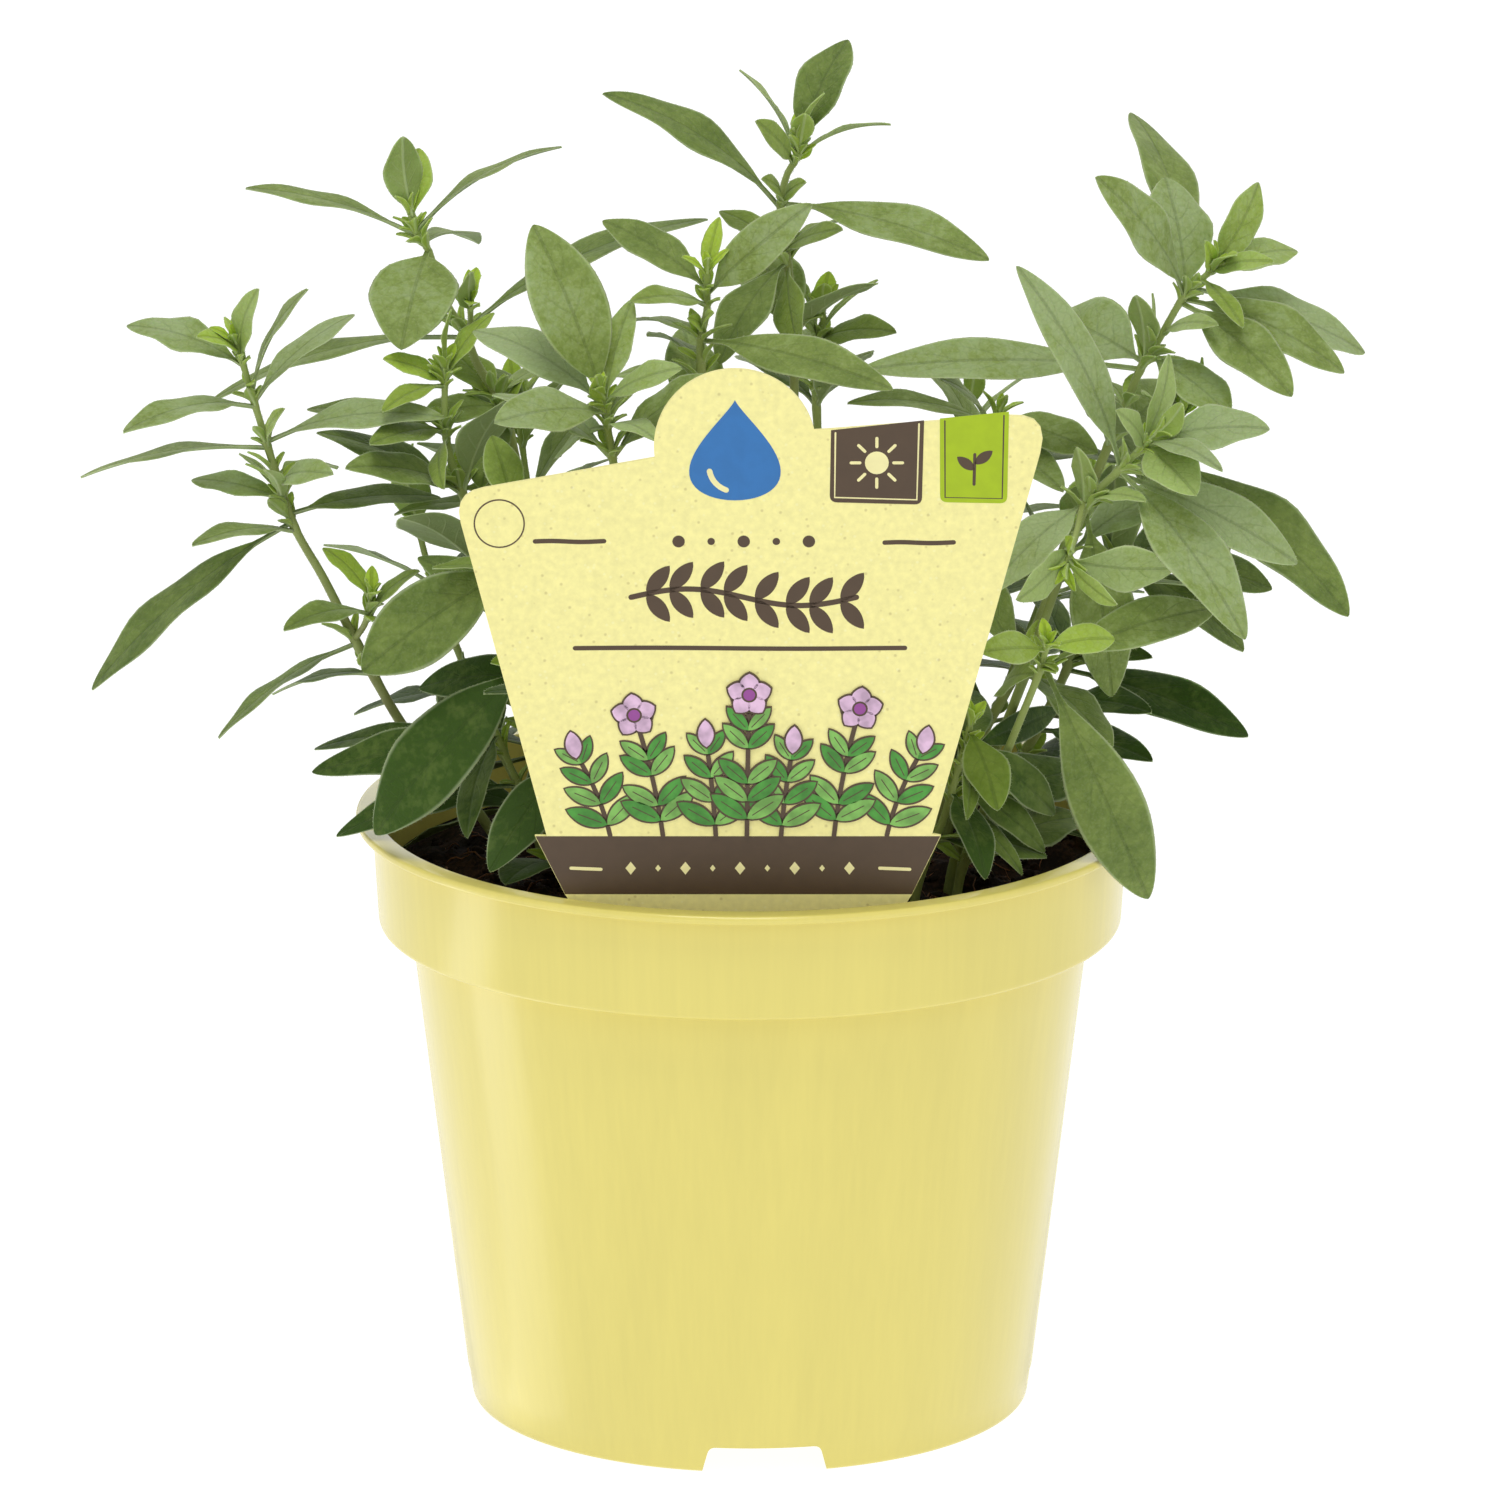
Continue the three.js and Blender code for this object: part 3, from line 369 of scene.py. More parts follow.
# Very small leaves that only the scene has, by stem and by which of its axes they stand on
TINY_LEAVES = {
    ("shoot_left_outer", 0): [
        (0.6, -84, 10, 158, 4, -35), (0.59, -79, -9, 160, 3.5, 30), (0.67, -76, -8, 170, 3, -65),
        (0.96, -86, 6, 182, 3, -50), (0.98, -83, -1, 186, 3, 25),
    ],
    ("shoot_left_inner", 0): [(0.97, -49, 3, 184, 4, 0)],
    ("shoot_mid_left", 0): [(0.96, -25, -31, 181, 4, -45)],
    ("shoot_middle", 0): [
        (0.95, -5, -8, 202, 4, 20), (0.62, -10, -16, 187, 3, 60), (0.62, -6, -16, 188, 3, -80),
    ],
    ("shoot_tallest", 0): [
        (0.94, 9, 2, 217, 4, 15), (0.94, 8, 13, 215, 4, -35), (0.65, 2, -2, 207, 4, 60),
        (0.65, 9, 0, 206, 4, -65),
    ],
    ("shoot_small_behind", 0): [
        (0.82, 21, 20, 185, 4, 5), (0.63, 5, 12, 183, 4, 50), (0.96, 12, 17, 185, 4, -15),
        (0.96, 13, 26, 185, 4, 10),
    ],
    ("shoot_upper_right", 0): [
        (0.88, 80, -14, 185, 4, -40), (0.97, 79, -9, 196, 4, -75), (0.94, 74, -8, 198, 3, 60),
        (0.6, 66, 6, 186, 3, -30), (0.68, 76, -12, 185, 4, -65),
    ],
    ("shoot_right_front", 1): [(0.95, 59, -43, 146, 4, 35), (0.86, 52, -38, 156, 3, 60)],
    ("shoot_right_rim", 0): [(0.92, 35, -46, 111, 4, 25)],
}


def linear(value):
    """A colour written as sRGB hex, as the linear colour that the shaders need."""
    shares = [(value >> shift & 255) / 255 for shift in (16, 8, 0)]
    return tuple(s / 12.92 if s <= 0.04045 else ((s + 0.055) / 1.055) ** 2.4 for s in shares)


def colour_setting(name, words, value):
    return bpy.props.FloatVectorProperty(
        name=name, description=words, subtype="COLOR", size=3, min=0, max=1, default=linear(value)
    )


def length_setting(name, words, millimetres):
    return bpy.props.FloatProperty(
        name=name, description=words, unit="LENGTH", min=0, precision=5, default=millimetres * MM
    )


class PotSettings(bpy.types.PropertyGroup):
    """The pot's colour and surface."""

    colour: colour_setting("Colour", "Colour of the moulded plastic", 0xE8DA74)
    gloss: bpy.props.FloatProperty(
        name="Roughness", description="How blurred its reflections are", min=0, max=1, default=0.2
    )
    streak: length_setting("Streak spacing", "Distance between the faint flow streaks down its wall", 1.6)


class SoilSettings(bpy.types.PropertyGroup):
    """The peat's colours and crumbs."""

    dark: colour_setting("Dark peat", "Colour of the moist peat", 0x1C130D)
    brown: colour_setting("Brown peat", "Colour of its drier crumbs", 0x4A3122)
    crumb: length_setting("Crumb size", "Size of the largest loose crumbs", 2.6)
    crumbs: bpy.props.IntProperty(name="Crumbs", description="How many loose crumbs", min=0, default=620)
    fibres: bpy.props.IntProperty(name="Fibres", description="How many peat fibres", min=0, default=230)


class LabelSettings(bpy.types.PropertyGroup):
    """The colours of the label's card and inks."""

    card: colour_setting("Card", "Colour of the card", 0xF9F1A2)
    brown: colour_setting("Brown ink", "Colour of the band and the outlines", 0x544230)
    cream: colour_setting("Cream ink", "Colour of the marks on the band", 0xF7EFAE)
    lime: colour_setting("Lime ink", "Colour of the right tab", 0xA9C40C)
    blue: colour_setting("Blue ink", "Colour of the water drop", 0x2F75B8)
    leaf: colour_setting("Leaf ink", "Colour of the printed leaves", 0x4FA03C)
    leaf_light: colour_setting("Light leaf ink", "Colour of the lighter printed leaves", 0x86C25E)
    pink: colour_setting("Pink ink", "Colour of the printed blossoms", 0xEBC6E4)
    plum: colour_setting("Plum ink", "Colour of the blossoms' middles", 0x9A4C9A)


class FoliageSettings(bpy.types.PropertyGroup):
    """The colours of the leaves and stems, and their hairs."""

    # Darkest upper face, of low leaves and leaves at the back: partly older leaves, partly painted shade
    old_and_shaded: colour_setting("Old leaf", "Upper face of the lowest leaves", 0x34500A)
    grown: colour_setting("Grown leaf", "Upper face of the grown leaves", 0x889B4E)
    pale: colour_setting("Pale leaf", "Upper face of the most felted leaves", 0x9DAF78)
    young: colour_setting("Young leaf", "The small leaves at the tips", 0xAECB3A)
    under: colour_setting("Underside", "Lower face of a leaf", 0x9DAF76)
    stem: colour_setting("Stem", "Colour of the green stems", 0xA6B96A)
    bark: colour_setting("Old stem", "Colour of the stems' lower part", 0x655D38)
    hair: colour_setting("Hair", "Colour of the fine hairs", 0xDCE6BE)
    hair_length: length_setting("Hair length", "Length of the hairs on margins and stems", 0.5)


class StageSettings(bpy.types.PropertyGroup):
    """The table's colour and the camera's place."""

    table: colour_setting("Table", "Colour of the table", 0x808080)
    distance: length_setting("Camera distance", "From the middle of the pot", 2200)
    elevation: bpy.props.FloatProperty(
        name="Camera elevation", description="Angle above the horizon", subtype="ANGLE",
        default=math.radians(16.5),
    )


SMOOTH = {"interpolation_type": "SMOOTHSTEP"}
COLOURS = {"data_type": "RGBA"}
TIMES = {"operation": "MULTIPLY"}
TIMES_PLUS = {"operation": "MULTIPLY_ADD"}


def feed(tree, node, sockets):
    """Fills a node's sockets, given by name or in their own order. Each takes a number, a colour, a
    socket, or a node, whose result is meant."""
    for key, value in sockets.items() if isinstance(sockets, dict) else enumerate(sockets):
        if isinstance(value, bpy.types.Node):
            value = value.outputs[2 if value.bl_idname == "ShaderNodeMix" else 0]
        if isinstance(value, bpy.types.NodeSocket):
            tree.links.new(value, node.inputs[key])
        elif node.inputs[key].type == "RGBA":
            node.inputs[key].default_value = (*value[:3], 1)
        else:
            node.inputs[key].default_value = value


def add(tree, kind, sockets=(), **settings):
    """Adds a shader node with its settings and links."""
    node = tree.nodes.new("ShaderNode" + kind)
    for name, value in settings.items():
        setattr(node, name, value)
    feed(tree, node, sockets)
    return node


def new_material(name, colour, roughness, **sockets):
    """A material with one Principled shader, and its tree."""
    material = bpy.data.materials.new(name)
    material.use_nodes = True
    shader = material.node_tree.nodes["Principled BSDF"]
    named = {key.replace("_", " ").title().replace("Ior", "IOR"): v for key, v in sockets.items()}
    feed(material.node_tree, shader, {"Base Color": colour, "Roughness": roughness, **named})
    material.diffuse_color = (*colour[:3], 1)
    return material, material.node_tree, shader


def tinted(colour, share):
    """A colour made darker or lighter by a share."""
    return tuple(min(1, c * share) for c in colour)


def bands(rings, sides):
    """Faces between rings of points that follow each other, each ring closed."""
    return [
        (a, b, b + sides, a + sides)
        for ring in range(0, (rings - 1) * sides, sides)
        for a, b in ((ring + side, ring + (side + 1) % sides) for side in range(sides))
    ]


class Shell:
    """Points, faces and material slots of one mesh, gathered part by part."""

    def __init__(self):
        self.points, self.faces, self.slots = [], [], []

    def gather(self, points, faces, slot=0):
        start = len(self.points)
        self.points += [tuple(p) for p in points]
        self.faces += [tuple(start + corner for corner in face) for face in faces]
        self.slots += [slot] * len(faces)


def make_object(name, points, faces, materials, slots=None, sharp=35):
    """A mesh object from points in millimetres in the pot's own frame."""
    mesh = bpy.data.meshes.new(name)
    places = (np.asarray(points, float) + (AXIS_X, AXIS_Y, 0)) * MM
    mesh.from_pydata(places.tolist(), [], faces)
    for material in materials:
        mesh.materials.append(material)
    if slots is not None:
        mesh.polygons.foreach_set("material_index", np.asarray(slots, np.int32))
    mesh.shade_smooth()
    if sharp:
        mesh.set_sharp_from_angle(angle=math.radians(sharp))
    mesh.update()
    piece = bpy.data.objects.new(name, mesh)
    bpy.context.scene.collection.objects.link(piece)
    return piece


def finish_piece(piece, slot, *nodes):
    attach(piece, "root")
    if nodes:
        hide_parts(*nodes)


def check_faces(piece):
    """Stops the script where a mesh that should be closed has an open edge."""
    mesh = bmesh.new()
    mesh.from_mesh(piece.data)
    loose = sum(1 for edge in mesh.edges if len(edge.link_faces) != 2)
    mesh.free()
    if loose:
        raise RuntimeError(f"{piece.name} has {loose} edges that don't join two faces")


def body_radius(z):
    return BASE_RADIUS + TAPER * z


def rounded(corners, steps=5):
    """Points of an outline whose corners, given as across, up and rounding, are arcs."""
    points = []
    for index, (across, up, rounding) in enumerate(corners):
        here = Vector((across, up))
        if not rounding:
            points.append(here)
            continue
        before = Vector(corners[index - 1][:2]) - here
        after = Vector(corners[(index + 1) % len(corners)][:2]) - here
        reach = min(rounding, before.length * 0.48, after.length * 0.48)
        start = here + before.normalized() * reach
        end = here + after.normalized() * reach
        for step in range(steps + 1):
            share = step / steps
            points.append(start.lerp(here, share).lerp(here.lerp(end, share), share))
    return points


def pot_profile():
    """The pot's section from the middle of its underside, out, up, over the lip and down inside."""
    foot = BASE_RADIUS - 1
    return rounded([
        (0, FLOOR_UNDERSIDE, 0),
        (foot - FOOT_WIDTH, FLOOR_UNDERSIDE, 1.2),
        (foot - FOOT_WIDTH, 0, 0.3),
        (body_radius(0) - 0.25, 0, 0.9),
        (body_radius(5.1) - 0.16, 5.1, 0),
        (body_radius(5.4), 5.4, 0),
        (body_radius(COLLAR_BOTTOM - 0.2), COLLAR_BOTTOM - 0.2, 0.7),
        (COLLAR_RADIUS - 0.2, COLLAR_BOTTOM, 1.1),
        (COLLAR_TOP_RADIUS, POT_HEIGHT - LIP_THICKNESS, 0.9),
        (LIP_RADIUS, POT_HEIGHT - LIP_THICKNESS, 0.5),
        (LIP_RADIUS, POT_HEIGHT, 0.95),
        (COLLAR_TOP_RADIUS - WALL, POT_HEIGHT, 0.5),
        (COLLAR_RADIUS - WALL, COLLAR_BOTTOM + 2, 1.5),
        (body_radius(COLLAR_BOTTOM) - WALL, COLLAR_BOTTOM + 0.9, 1.5),
        (body_radius(FLOOR_TOP) - WALL, FLOOR_TOP, 2.5),
        (0, FLOOR_TOP, 0),
    ])


def revolve(profile, segments):
    """Points and faces of a profile that starts and ends on the axis, turned about it."""
    inner = profile[1:-1]
    points = [(0, 0, profile[0].y), (0, 0, profile[-1].y)]
    for step in range(segments):
        angle = 2 * math.pi * step / segments
        points += [(p.x * math.cos(angle), p.x * math.sin(angle), p.y) for p in inner]
    faces = []
    count = len(inner)
    for step in range(segments):
        here = 2 + step * count
        there = 2 + (step + 1) % segments * count
        faces.append((0, there, here))
        faces.append((1, here + count - 1, there + count - 1))
        for row in range(count - 1):
            faces.append((here + row, there + row, there + row + 1, here + row + 1))
    return points, faces


def prism(outline, low, high, place):
    """Points and faces of an outline extruded from low to high, each point put in place."""
    count = len(outline)
    points = [place(u, v, low) for u, v in outline] + [place(u, v, high) for u, v in outline]
    flat = geometry.tessellate_polygon([[Vector((u, v, 0)) for u, v in outline]])
    turned = sum(
        (outline[i][0] - outline[i - 1][0]) * (outline[i][1] + outline[i - 1][1]) for i in range(count)
    )
    faces = []
    for a, b, c in flat:
        area = (outline[b][0] - outline[a][0]) * (outline[c][1] - outline[a][1])
        area -= (outline[c][0] - outline[a][0]) * (outline[b][1] - outline[a][1])
        if area < 0:
            b, c = c, b
        faces.append((count + a, count + b, count + c))
        faces.append((a, c, b))
    for index in range(count):
        after = (index + 1) % count
        side = (index, after, count + after, count + index)
        faces.append(side if turned < 0 else side[::-1])
    return points, faces


def cut(piece, cutters):
    """Cuts solids out of a piece, and drops them."""
    for cutter in cutters:
        modifier = piece.modifiers.new(cutter.name, "BOOLEAN")
        modifier.operation = "DIFFERENCE"
        modifier.solver = "EXACT"
        modifier.object = cutter
    graph = bpy.context.evaluated_depsgraph_get()
    mesh = bpy.data.meshes.new_from_object(piece.evaluated_get(graph))
    joined = bmesh.new()
    joined.from_mesh(mesh)
    bmesh.ops.remove_doubles(joined, verts=joined.verts, dist=0.002 * MM)
    bmesh.ops.dissolve_degenerate(joined, edges=joined.edges, dist=0.002 * MM)
    joined.to_mesh(mesh)
    joined.free()
    piece.modifiers.clear()
    piece.data = mesh
    for cutter in cutters:
        bpy.data.objects.remove(cutter)


NOTCH_COUNT = 3
NOTCH_TURN = math.radians(3)
NOTCH_OUTLINE = [(-10.5, -1, 0), (-9.1, 4.5, 1.1), (9.1, 4.5, 1.1), (10.5, -1, 0)]
DRAIN_COUNT = 6
DRAIN_TURN = math.radians(0.7)
DRAIN_RADIUS = 4.5
DRAIN_CIRCLE = 28


def notch_cutter(index):
    turn = NOTCH_TURN + 2 * math.pi * index / NOTCH_COUNT - math.pi / 2

    def place(u, v, w):
        return (w * math.cos(turn) - u * math.sin(turn), w * math.sin(turn) + u * math.cos(turn), v)

    points, faces = prism(rounded(NOTCH_OUTLINE), 40, 52, place)
    return make_object(f"notch_{index}", points, faces, [])


def drain_cutter(index):
    turn = DRAIN_TURN + 2 * math.pi * index / DRAIN_COUNT
    centre = (DRAIN_CIRCLE * math.cos(turn), DRAIN_CIRCLE * math.sin(turn))
    outline = [
        (centre[0] + DRAIN_RADIUS * math.cos(a), centre[1] + DRAIN_RADIUS * math.sin(a))
        for a in np.linspace(0, 2 * math.pi, 32, endpoint=False)
    ]
    points, faces = prism(outline, FLOOR_UNDERSIDE - 2, FLOOR_TOP + 2, lambda u, v, w: (u, v, w))
    return make_object(f"drain_{index}", points, faces, [])


# The streaks run up the wall, so the pattern hardly changes along it
STREAK_STRETCH = 0.03
BROAD_STREAK = 11.1
MOULD_GRAIN = 0.9


def moulded_polypropylene(settings):
    """Injection-moulded polypropylene. It is satin, and its wall has faint streaks along the flow of
    the melt, which break up the soft reflections."""
    material, tree, shader = new_material(
        "moulded_polypropylene", settings.colour, settings.gloss, ior=1.49, specular_ior_level=0.7
    )
    place = add(tree, "TexCoord").outputs["Object"]
    stretched = add(tree, "VectorMath", (place, (1, 1, STREAK_STRETCH)), **TIMES)
    streaks = add(
        tree, "TexNoise",
        {"Vector": stretched, "Scale": 1 / settings.streak, "Detail": 3.0, "Roughness": 0.6},
    )
    broad = add(tree, "TexNoise", {"Vector": stretched, "Scale": 1 / (BROAD_STREAK * MM), "Detail": 1.0})
    both = add(tree, "Math", (streaks, broad), operation="ADD")
    tint = add(tree, "MapRange", (both, 0.7, 1.3))
    low, high = tinted(settings.colour, 0.968), tinted(settings.colour, 1.02)
    colour = add(tree, "Mix", {0: tint, 6: low, 7: high}, **COLOURS)
    rough = add(
        tree, "MapRange", {0: streaks, "To Min": settings.gloss - 0.03, "To Max": settings.gloss + 0.05}
    )
    grain = add(tree, "TexNoise", {"Vector": place, "Scale": 1 / (MOULD_GRAIN * MM), "Detail": 2.0})
    bump = add(tree, "Bump", {"Height": grain, "Strength": 0.06, "Distance": 0.12 * MM})
    feed(tree, shader, {"Base Color": colour, "Roughness": rough, "Normal": bump})
    return material


class OREGANO_OT_pot(bpy.types.Operator):
    """Add the nursery pot with its lip, collar, notched foot and drain holes"""

    bl_idname = "oregano.pot"
    bl_label = "Nursery Pot"

    def execute(self, context):
        settings = context.scene.oregano_pot
        points, faces = revolve(pot_profile(), 176)
        pot = make_object("nursery_pot", points, faces, [moulded_polypropylene(settings)])
        cutters = [notch_cutter(index) for index in range(NOTCH_COUNT)]
        cutters += [drain_cutter(index) for index in range(DRAIN_COUNT)]
        cut(pot, cutters)
        pot.data.set_sharp_from_angle(angle=math.radians(40))
        check_faces(pot)
        finish_piece(pot, "pot_plastic", "pot")
        return {"FINISHED"}


SOIL_RINGS = 74
SOIL_SPOKES = 220


def soil_height(x, y):
    """Height of the peat's top: the broad swells of its solid, with crumbs of several sizes."""
    waves = math.sin(0.21 * x + 1.1) * math.cos(0.17 * y) + 0.6 * math.sin(0.43 * y + 0.31 * x)
    swell = SOIL_TOP + 1.1 * waves - 0.0007 * (x * x + y * y)
    lumps = noise.fractal(Vector((x / 6.5, y / 6.5, 0.4)), 0.9, 2.1, 4)
    crumbs = noise.voronoi(Vector((x / 2.3, y / 2.3, 2.7)))[0][0]
    return swell - 0.3 + 1.5 * lumps + 0.9 * (0.5 - crumbs)


def soil_body():
    """Points and faces of the peat: a crumbly top, a side along the pot's wall and a flat bottom."""
    wall = WALL + SOIL_GAP
    top_radius = COLLAR_RADIUS - wall - 0.1
    side = [
        (top_radius, SOIL_TOP - 2.4), (top_radius - 0.2, COLLAR_BOTTOM + 2.6),
        (body_radius(COLLAR_BOTTOM) - wall, COLLAR_BOTTOM + 1.1),
        (body_radius(FLOOR_TOP) - wall, FLOOR_TOP + SOIL_GAP),
    ]
    points = [(0, 0, soil_height(0, 0)), (0, 0, FLOOR_TOP + SOIL_GAP)]
    for spoke in range(SOIL_SPOKES):
        angle = 2 * math.pi * spoke / SOIL_SPOKES
        ways = (math.cos(angle), math.sin(angle))
        for ring in range(1, SOIL_RINGS + 1):
            x, y = (way * top_radius * (ring / SOIL_RINGS) ** 0.8 for way in ways)
            points.append((x, y, soil_height(x, y)))
        points += [(r * ways[0], r * ways[1], z) for r, z in side]
    count = SOIL_RINGS + len(side)
    faces = []
    for spoke in range(SOIL_SPOKES):
        here = 2 + spoke * count
        there = 2 + (spoke + 1) % SOIL_SPOKES * count
        faces.append((0, here, there))
        faces.append((1, there + count - 1, here + count - 1))
        for row in range(count - 1):
            faces.append((here + row, here + row + 1, there + row + 1, there + row))
    return points, faces


def crumb(draws, x, y, size):
    """Points and faces of one loose crumb, an uneven lump that lies on the peat."""
    mesh = bmesh.new()
    bmesh.ops.create_icosphere(mesh, subdivisions=2, radius=size / 2)
    shift = Vector((draws.uniform(0, 50), draws.uniform(0, 50), draws.uniform(0, 50)))
    stretch = Vector((draws.uniform(0.8, 1.3), draws.uniform(0.8, 1.3), draws.uniform(0.55, 0.9)))
    centre = Vector((x, y, soil_height(x, y) + size * 0.18))
    points = []
    for corner in mesh.verts:
        uneven = 1 + 0.55 * noise.noise(corner.co * (1.6 / size) + shift)
        points.append(tuple(centre + corner.co * stretch * uneven))
    faces = [tuple(corner.index for corner in face.verts) for face in mesh.faces]
    mesh.free()
    return points, faces


def tube(path, radii, sides=5):
    """Points and faces of a round rod along a path, closed at both ends."""
    path = [Vector(p) for p in path]
    points = []
    for index, place in enumerate(path):
        ahead = path[min(index + 1, len(path) - 1)] - path[max(index - 1, 0)]
        across = ahead.orthogonal().normalized() if index == 0 else across
        across = (across - ahead.normalized() * across.dot(ahead.normalized())).normalized()
        other = ahead.normalized().cross(across)
        for side in range(sides):
            angle = 2 * math.pi * side / sides
            points.append(tuple(place + radii[index] * (across * math.cos(angle) + other * math.sin(angle))))
    ends = [tuple(reversed(range(sides))), tuple(range(len(points) - sides, len(points)))]
    return points, ends + bands(len(path), sides)


def fibre(draws, x, y):
    """One peat fibre, a thin bent thread that lies on the top."""
    length = draws.uniform(3, 11)
    heading = draws.uniform(0, 2 * math.pi)
    path = []
    for step in range(6):
        path.append((x, y, soil_height(x, y) + 0.35 + 0.5 * math.sin(step * 1.3)))
        heading += draws.uniform(-0.5, 0.5)
        x += length / 5 * math.cos(heading)
        y += length / 5 * math.sin(heading)
    middle = draws.uniform(0.09, 0.22)
    return tube(path, [middle * 0.5, middle, middle, middle, middle * 0.8, middle * 0.3])


def moist_peat(settings):
    """Moist peat. It is almost black where wet, brown on drier crumbs, and has no gloss."""
    material, tree, shader = new_material("moist_peat", settings.dark, 0.95, specular_ior_level=0.25)
    place = add(tree, "TexCoord").outputs["Object"]
    patches = add(tree, "TexNoise", {"Vector": place, "Scale": 1 / (5 * MM), "Detail": 5.0})
    grains = add(tree, "TexNoise", {"Vector": place, "Scale": 1 / (0.8 * MM), "Detail": 4.0})
    both = add(tree, "Math", (patches, grains), **TIMES)
    share = add(tree, "MapRange", (both, 0.2, 0.42))
    colour = add(tree, "Mix", {0: share, 6: settings.dark, 7: settings.brown}, **COLOURS)
    bump = add(tree, "Bump", {"Height": grains, "Strength": 0.8, "Distance": 0.5 * MM})
    feed(tree, shader, {"Base Color": colour, "Normal": bump})
    return material


def peat_fibre():
    """Dry peat fibre, reddish brown and dull."""
    material, tree, shader = new_material("peat_fibre", linear(0x7A4A30), 0.85)
    place = add(tree, "TexCoord").outputs["Object"]
    tint = add(tree, "TexNoise", {"Vector": place, "Scale": 1 / (6 * MM)})
    colour = add(tree, "Mix", {0: tint, 6: linear(0x4C2C1C), 7: linear(0x94623F)}, **COLOURS)
    feed(tree, shader, {"Base Color": colour})
    return material


class OREGANO_OT_soil(bpy.types.Operator):
    """Add the peat with its loose crumbs and fibres"""

    bl_idname = "oregano.soil"
    bl_label = "Peat"

    def execute(self, context):
        settings = context.scene.oregano_soil
        draws = random.Random(7)
        soil = Shell()
        soil.gather(*soil_body())
        rim = COLLAR_RADIUS - WALL - 3
        for index in range(settings.crumbs + settings.fibres):
            away = rim * math.sqrt(draws.random())
            angle = draws.uniform(0, 2 * math.pi)
            x, y = away * math.cos(angle), away * math.sin(angle)
            loose = index < settings.crumbs
            size = settings.crumb / MM * draws.uniform(0.35, 1) ** 1.6
            skin = crumb(draws, x, y, size) if loose else fibre(draws, x * 0.92, y * 0.92)
            soil.gather(*skin, 0 if loose else 1)
        materials = [moist_peat(settings), peat_fibre()]
        peat = make_object("peat", soil.points, soil.faces, materials, soil.slots, sharp=0)
        check_faces(peat)
        finish_piece(peat, "potting_soil", "soil")
        return {"FINISHED"}


INK_STEP = 0.008
INK_SINK = 0.05
INKS = ["card", "brown", "cream", "lime", "blue", "leaf", "leaf_light", "pink", "plum"]
OUTLINE = 0.32


def on_label(u, v, w):
    """A place on the label: across, up from the rim's height, and out of its front."""
    lean = math.sin(LABEL_LEAN), math.cos(LABEL_LEAN)
    return (u, LABEL_Y - v * lean[0] - w * lean[1], LABEL_Z + v * lean[1] - w * lean[0])


def arc(centre, radius, start, end, steps):
    return [
        (centre[0] + radius * math.cos(a), centre[1] + radius * math.sin(a))
        for a in np.linspace(start, end, steps)
    ]


def label_outline():
    """The card's outline: a plate that widens upwards, a round tab at its top and a stake below."""
    start = math.atan2(82 - TAB_CENTRE[1], 10.2 - TAB_CENTRE[0])
    end = math.atan2(77.4 - TAB_CENTRE[1], -15.2 - TAB_CENTRE[0]) + 2 * math.pi
    tab = [(u, v, 0) for u, v in arc(TAB_CENTRE, TAB_RADIUS, start, end, 60)]
    return rounded([
        (-4.8, -36, 2.5), (1.2, -36, 2.5), (7, -20, 6), (12, -8, 3), (24, 0, 1), (26.1, 3.5, 0),
        (30.7, 13.5, 0), (29.3, 13.8, 0), (48, 85, 7), (13, 82.2, 0), *tab, (-47.4, 71.4, 5),
        (-32.7, 13.5, 0), (-34.6, 13.5, 0), (-29.8, 3.5, 0), (-27.6, 0, 1), (-15.6, -8, 3),
        (-10.6, -20, 6),
    ])


def stroke(path, width):
    """Outline of a drawn line with round ends."""
    path = [Vector(p) for p in path]
    left, right = [], []
    for index, place in enumerate(path):
        ahead = (path[min(index + 1, len(path) - 1)] - path[max(index - 1, 0)]).normalized()
        side = Vector((-ahead.y, ahead.x)) * width / 2
        left.append(place + side)
        right.append(place - side)
    first = math.atan2(left[0].y - path[0].y, left[0].x - path[0].x)
    last = math.atan2(right[-1].y - path[-1].y, right[-1].x - path[-1].x)
    start = arc(path[0], width / 2, first, first + math.pi, 7)[1:-1]
    end = arc(path[-1], width / 2, last, last + math.pi, 7)[1:-1]
    return [tuple(p) for p in left[::-1]] + start + [tuple(p) for p in right] + end


def disc(centre, radius, steps=40):
    return arc(centre, radius, 0, 2 * math.pi, steps + 1)[:-1]


def blade_shape(root, heading, length, width, steps=11):
    """Outline of a drawn leaf or petal that starts at its root."""
    ahead = (math.cos(heading), math.sin(heading))
    points = []
    for way, indices in ((1, range(steps)), (-1, range(steps, 0, -1))):
        for index in indices:
            share = index / steps
            half = way * width / 2 * abs(math.sin(math.pi * share ** 0.95)) ** 0.75
            along = length * share
            points.append((
                root[0] + along * ahead[0] - half * ahead[1], root[1] + along * ahead[1] + half * ahead[0]
            ))
    return points


def grow_back(root, heading, by):
    return (root[0] - by * math.cos(heading), root[1] - by * math.sin(heading))


class Print(Shell):
    """The label's printed shapes, each a thin closed film, in the order that they are printed."""

    layer = 0

    def shape(self, outline, ink, layer=0, front=True):
        low = LABEL_THICKNESS / 2 - INK_SINK
        high = LABEL_THICKNESS / 2 + INK_STEP * (self.layer + layer + 1)
        if not front:
            low, high = -high, -low
        corners = [Vector(p[:2]) for p in outline]
        corners = [p for i, p in enumerate(corners) if (p - corners[i - 1]).length > 0.01]
        self.gather(*prism(corners, low, high, on_label), INKS.index(ink))

    def blade(self, root, heading, length, width, ink, vein=True):
        back = grow_back(root, heading, OUTLINE)
        self.shape(blade_shape(back, heading, length + 2 * OUTLINE, width + 2 * OUTLINE), "brown")
        self.shape(blade_shape(root, heading, length, width), ink, 1)
        if vein:
            start = grow_back(root, heading, -0.15 * length)
            end = grow_back(root, heading, -0.72 * length)
            self.shape(stroke([start, end], 0.16), "brown", 2)


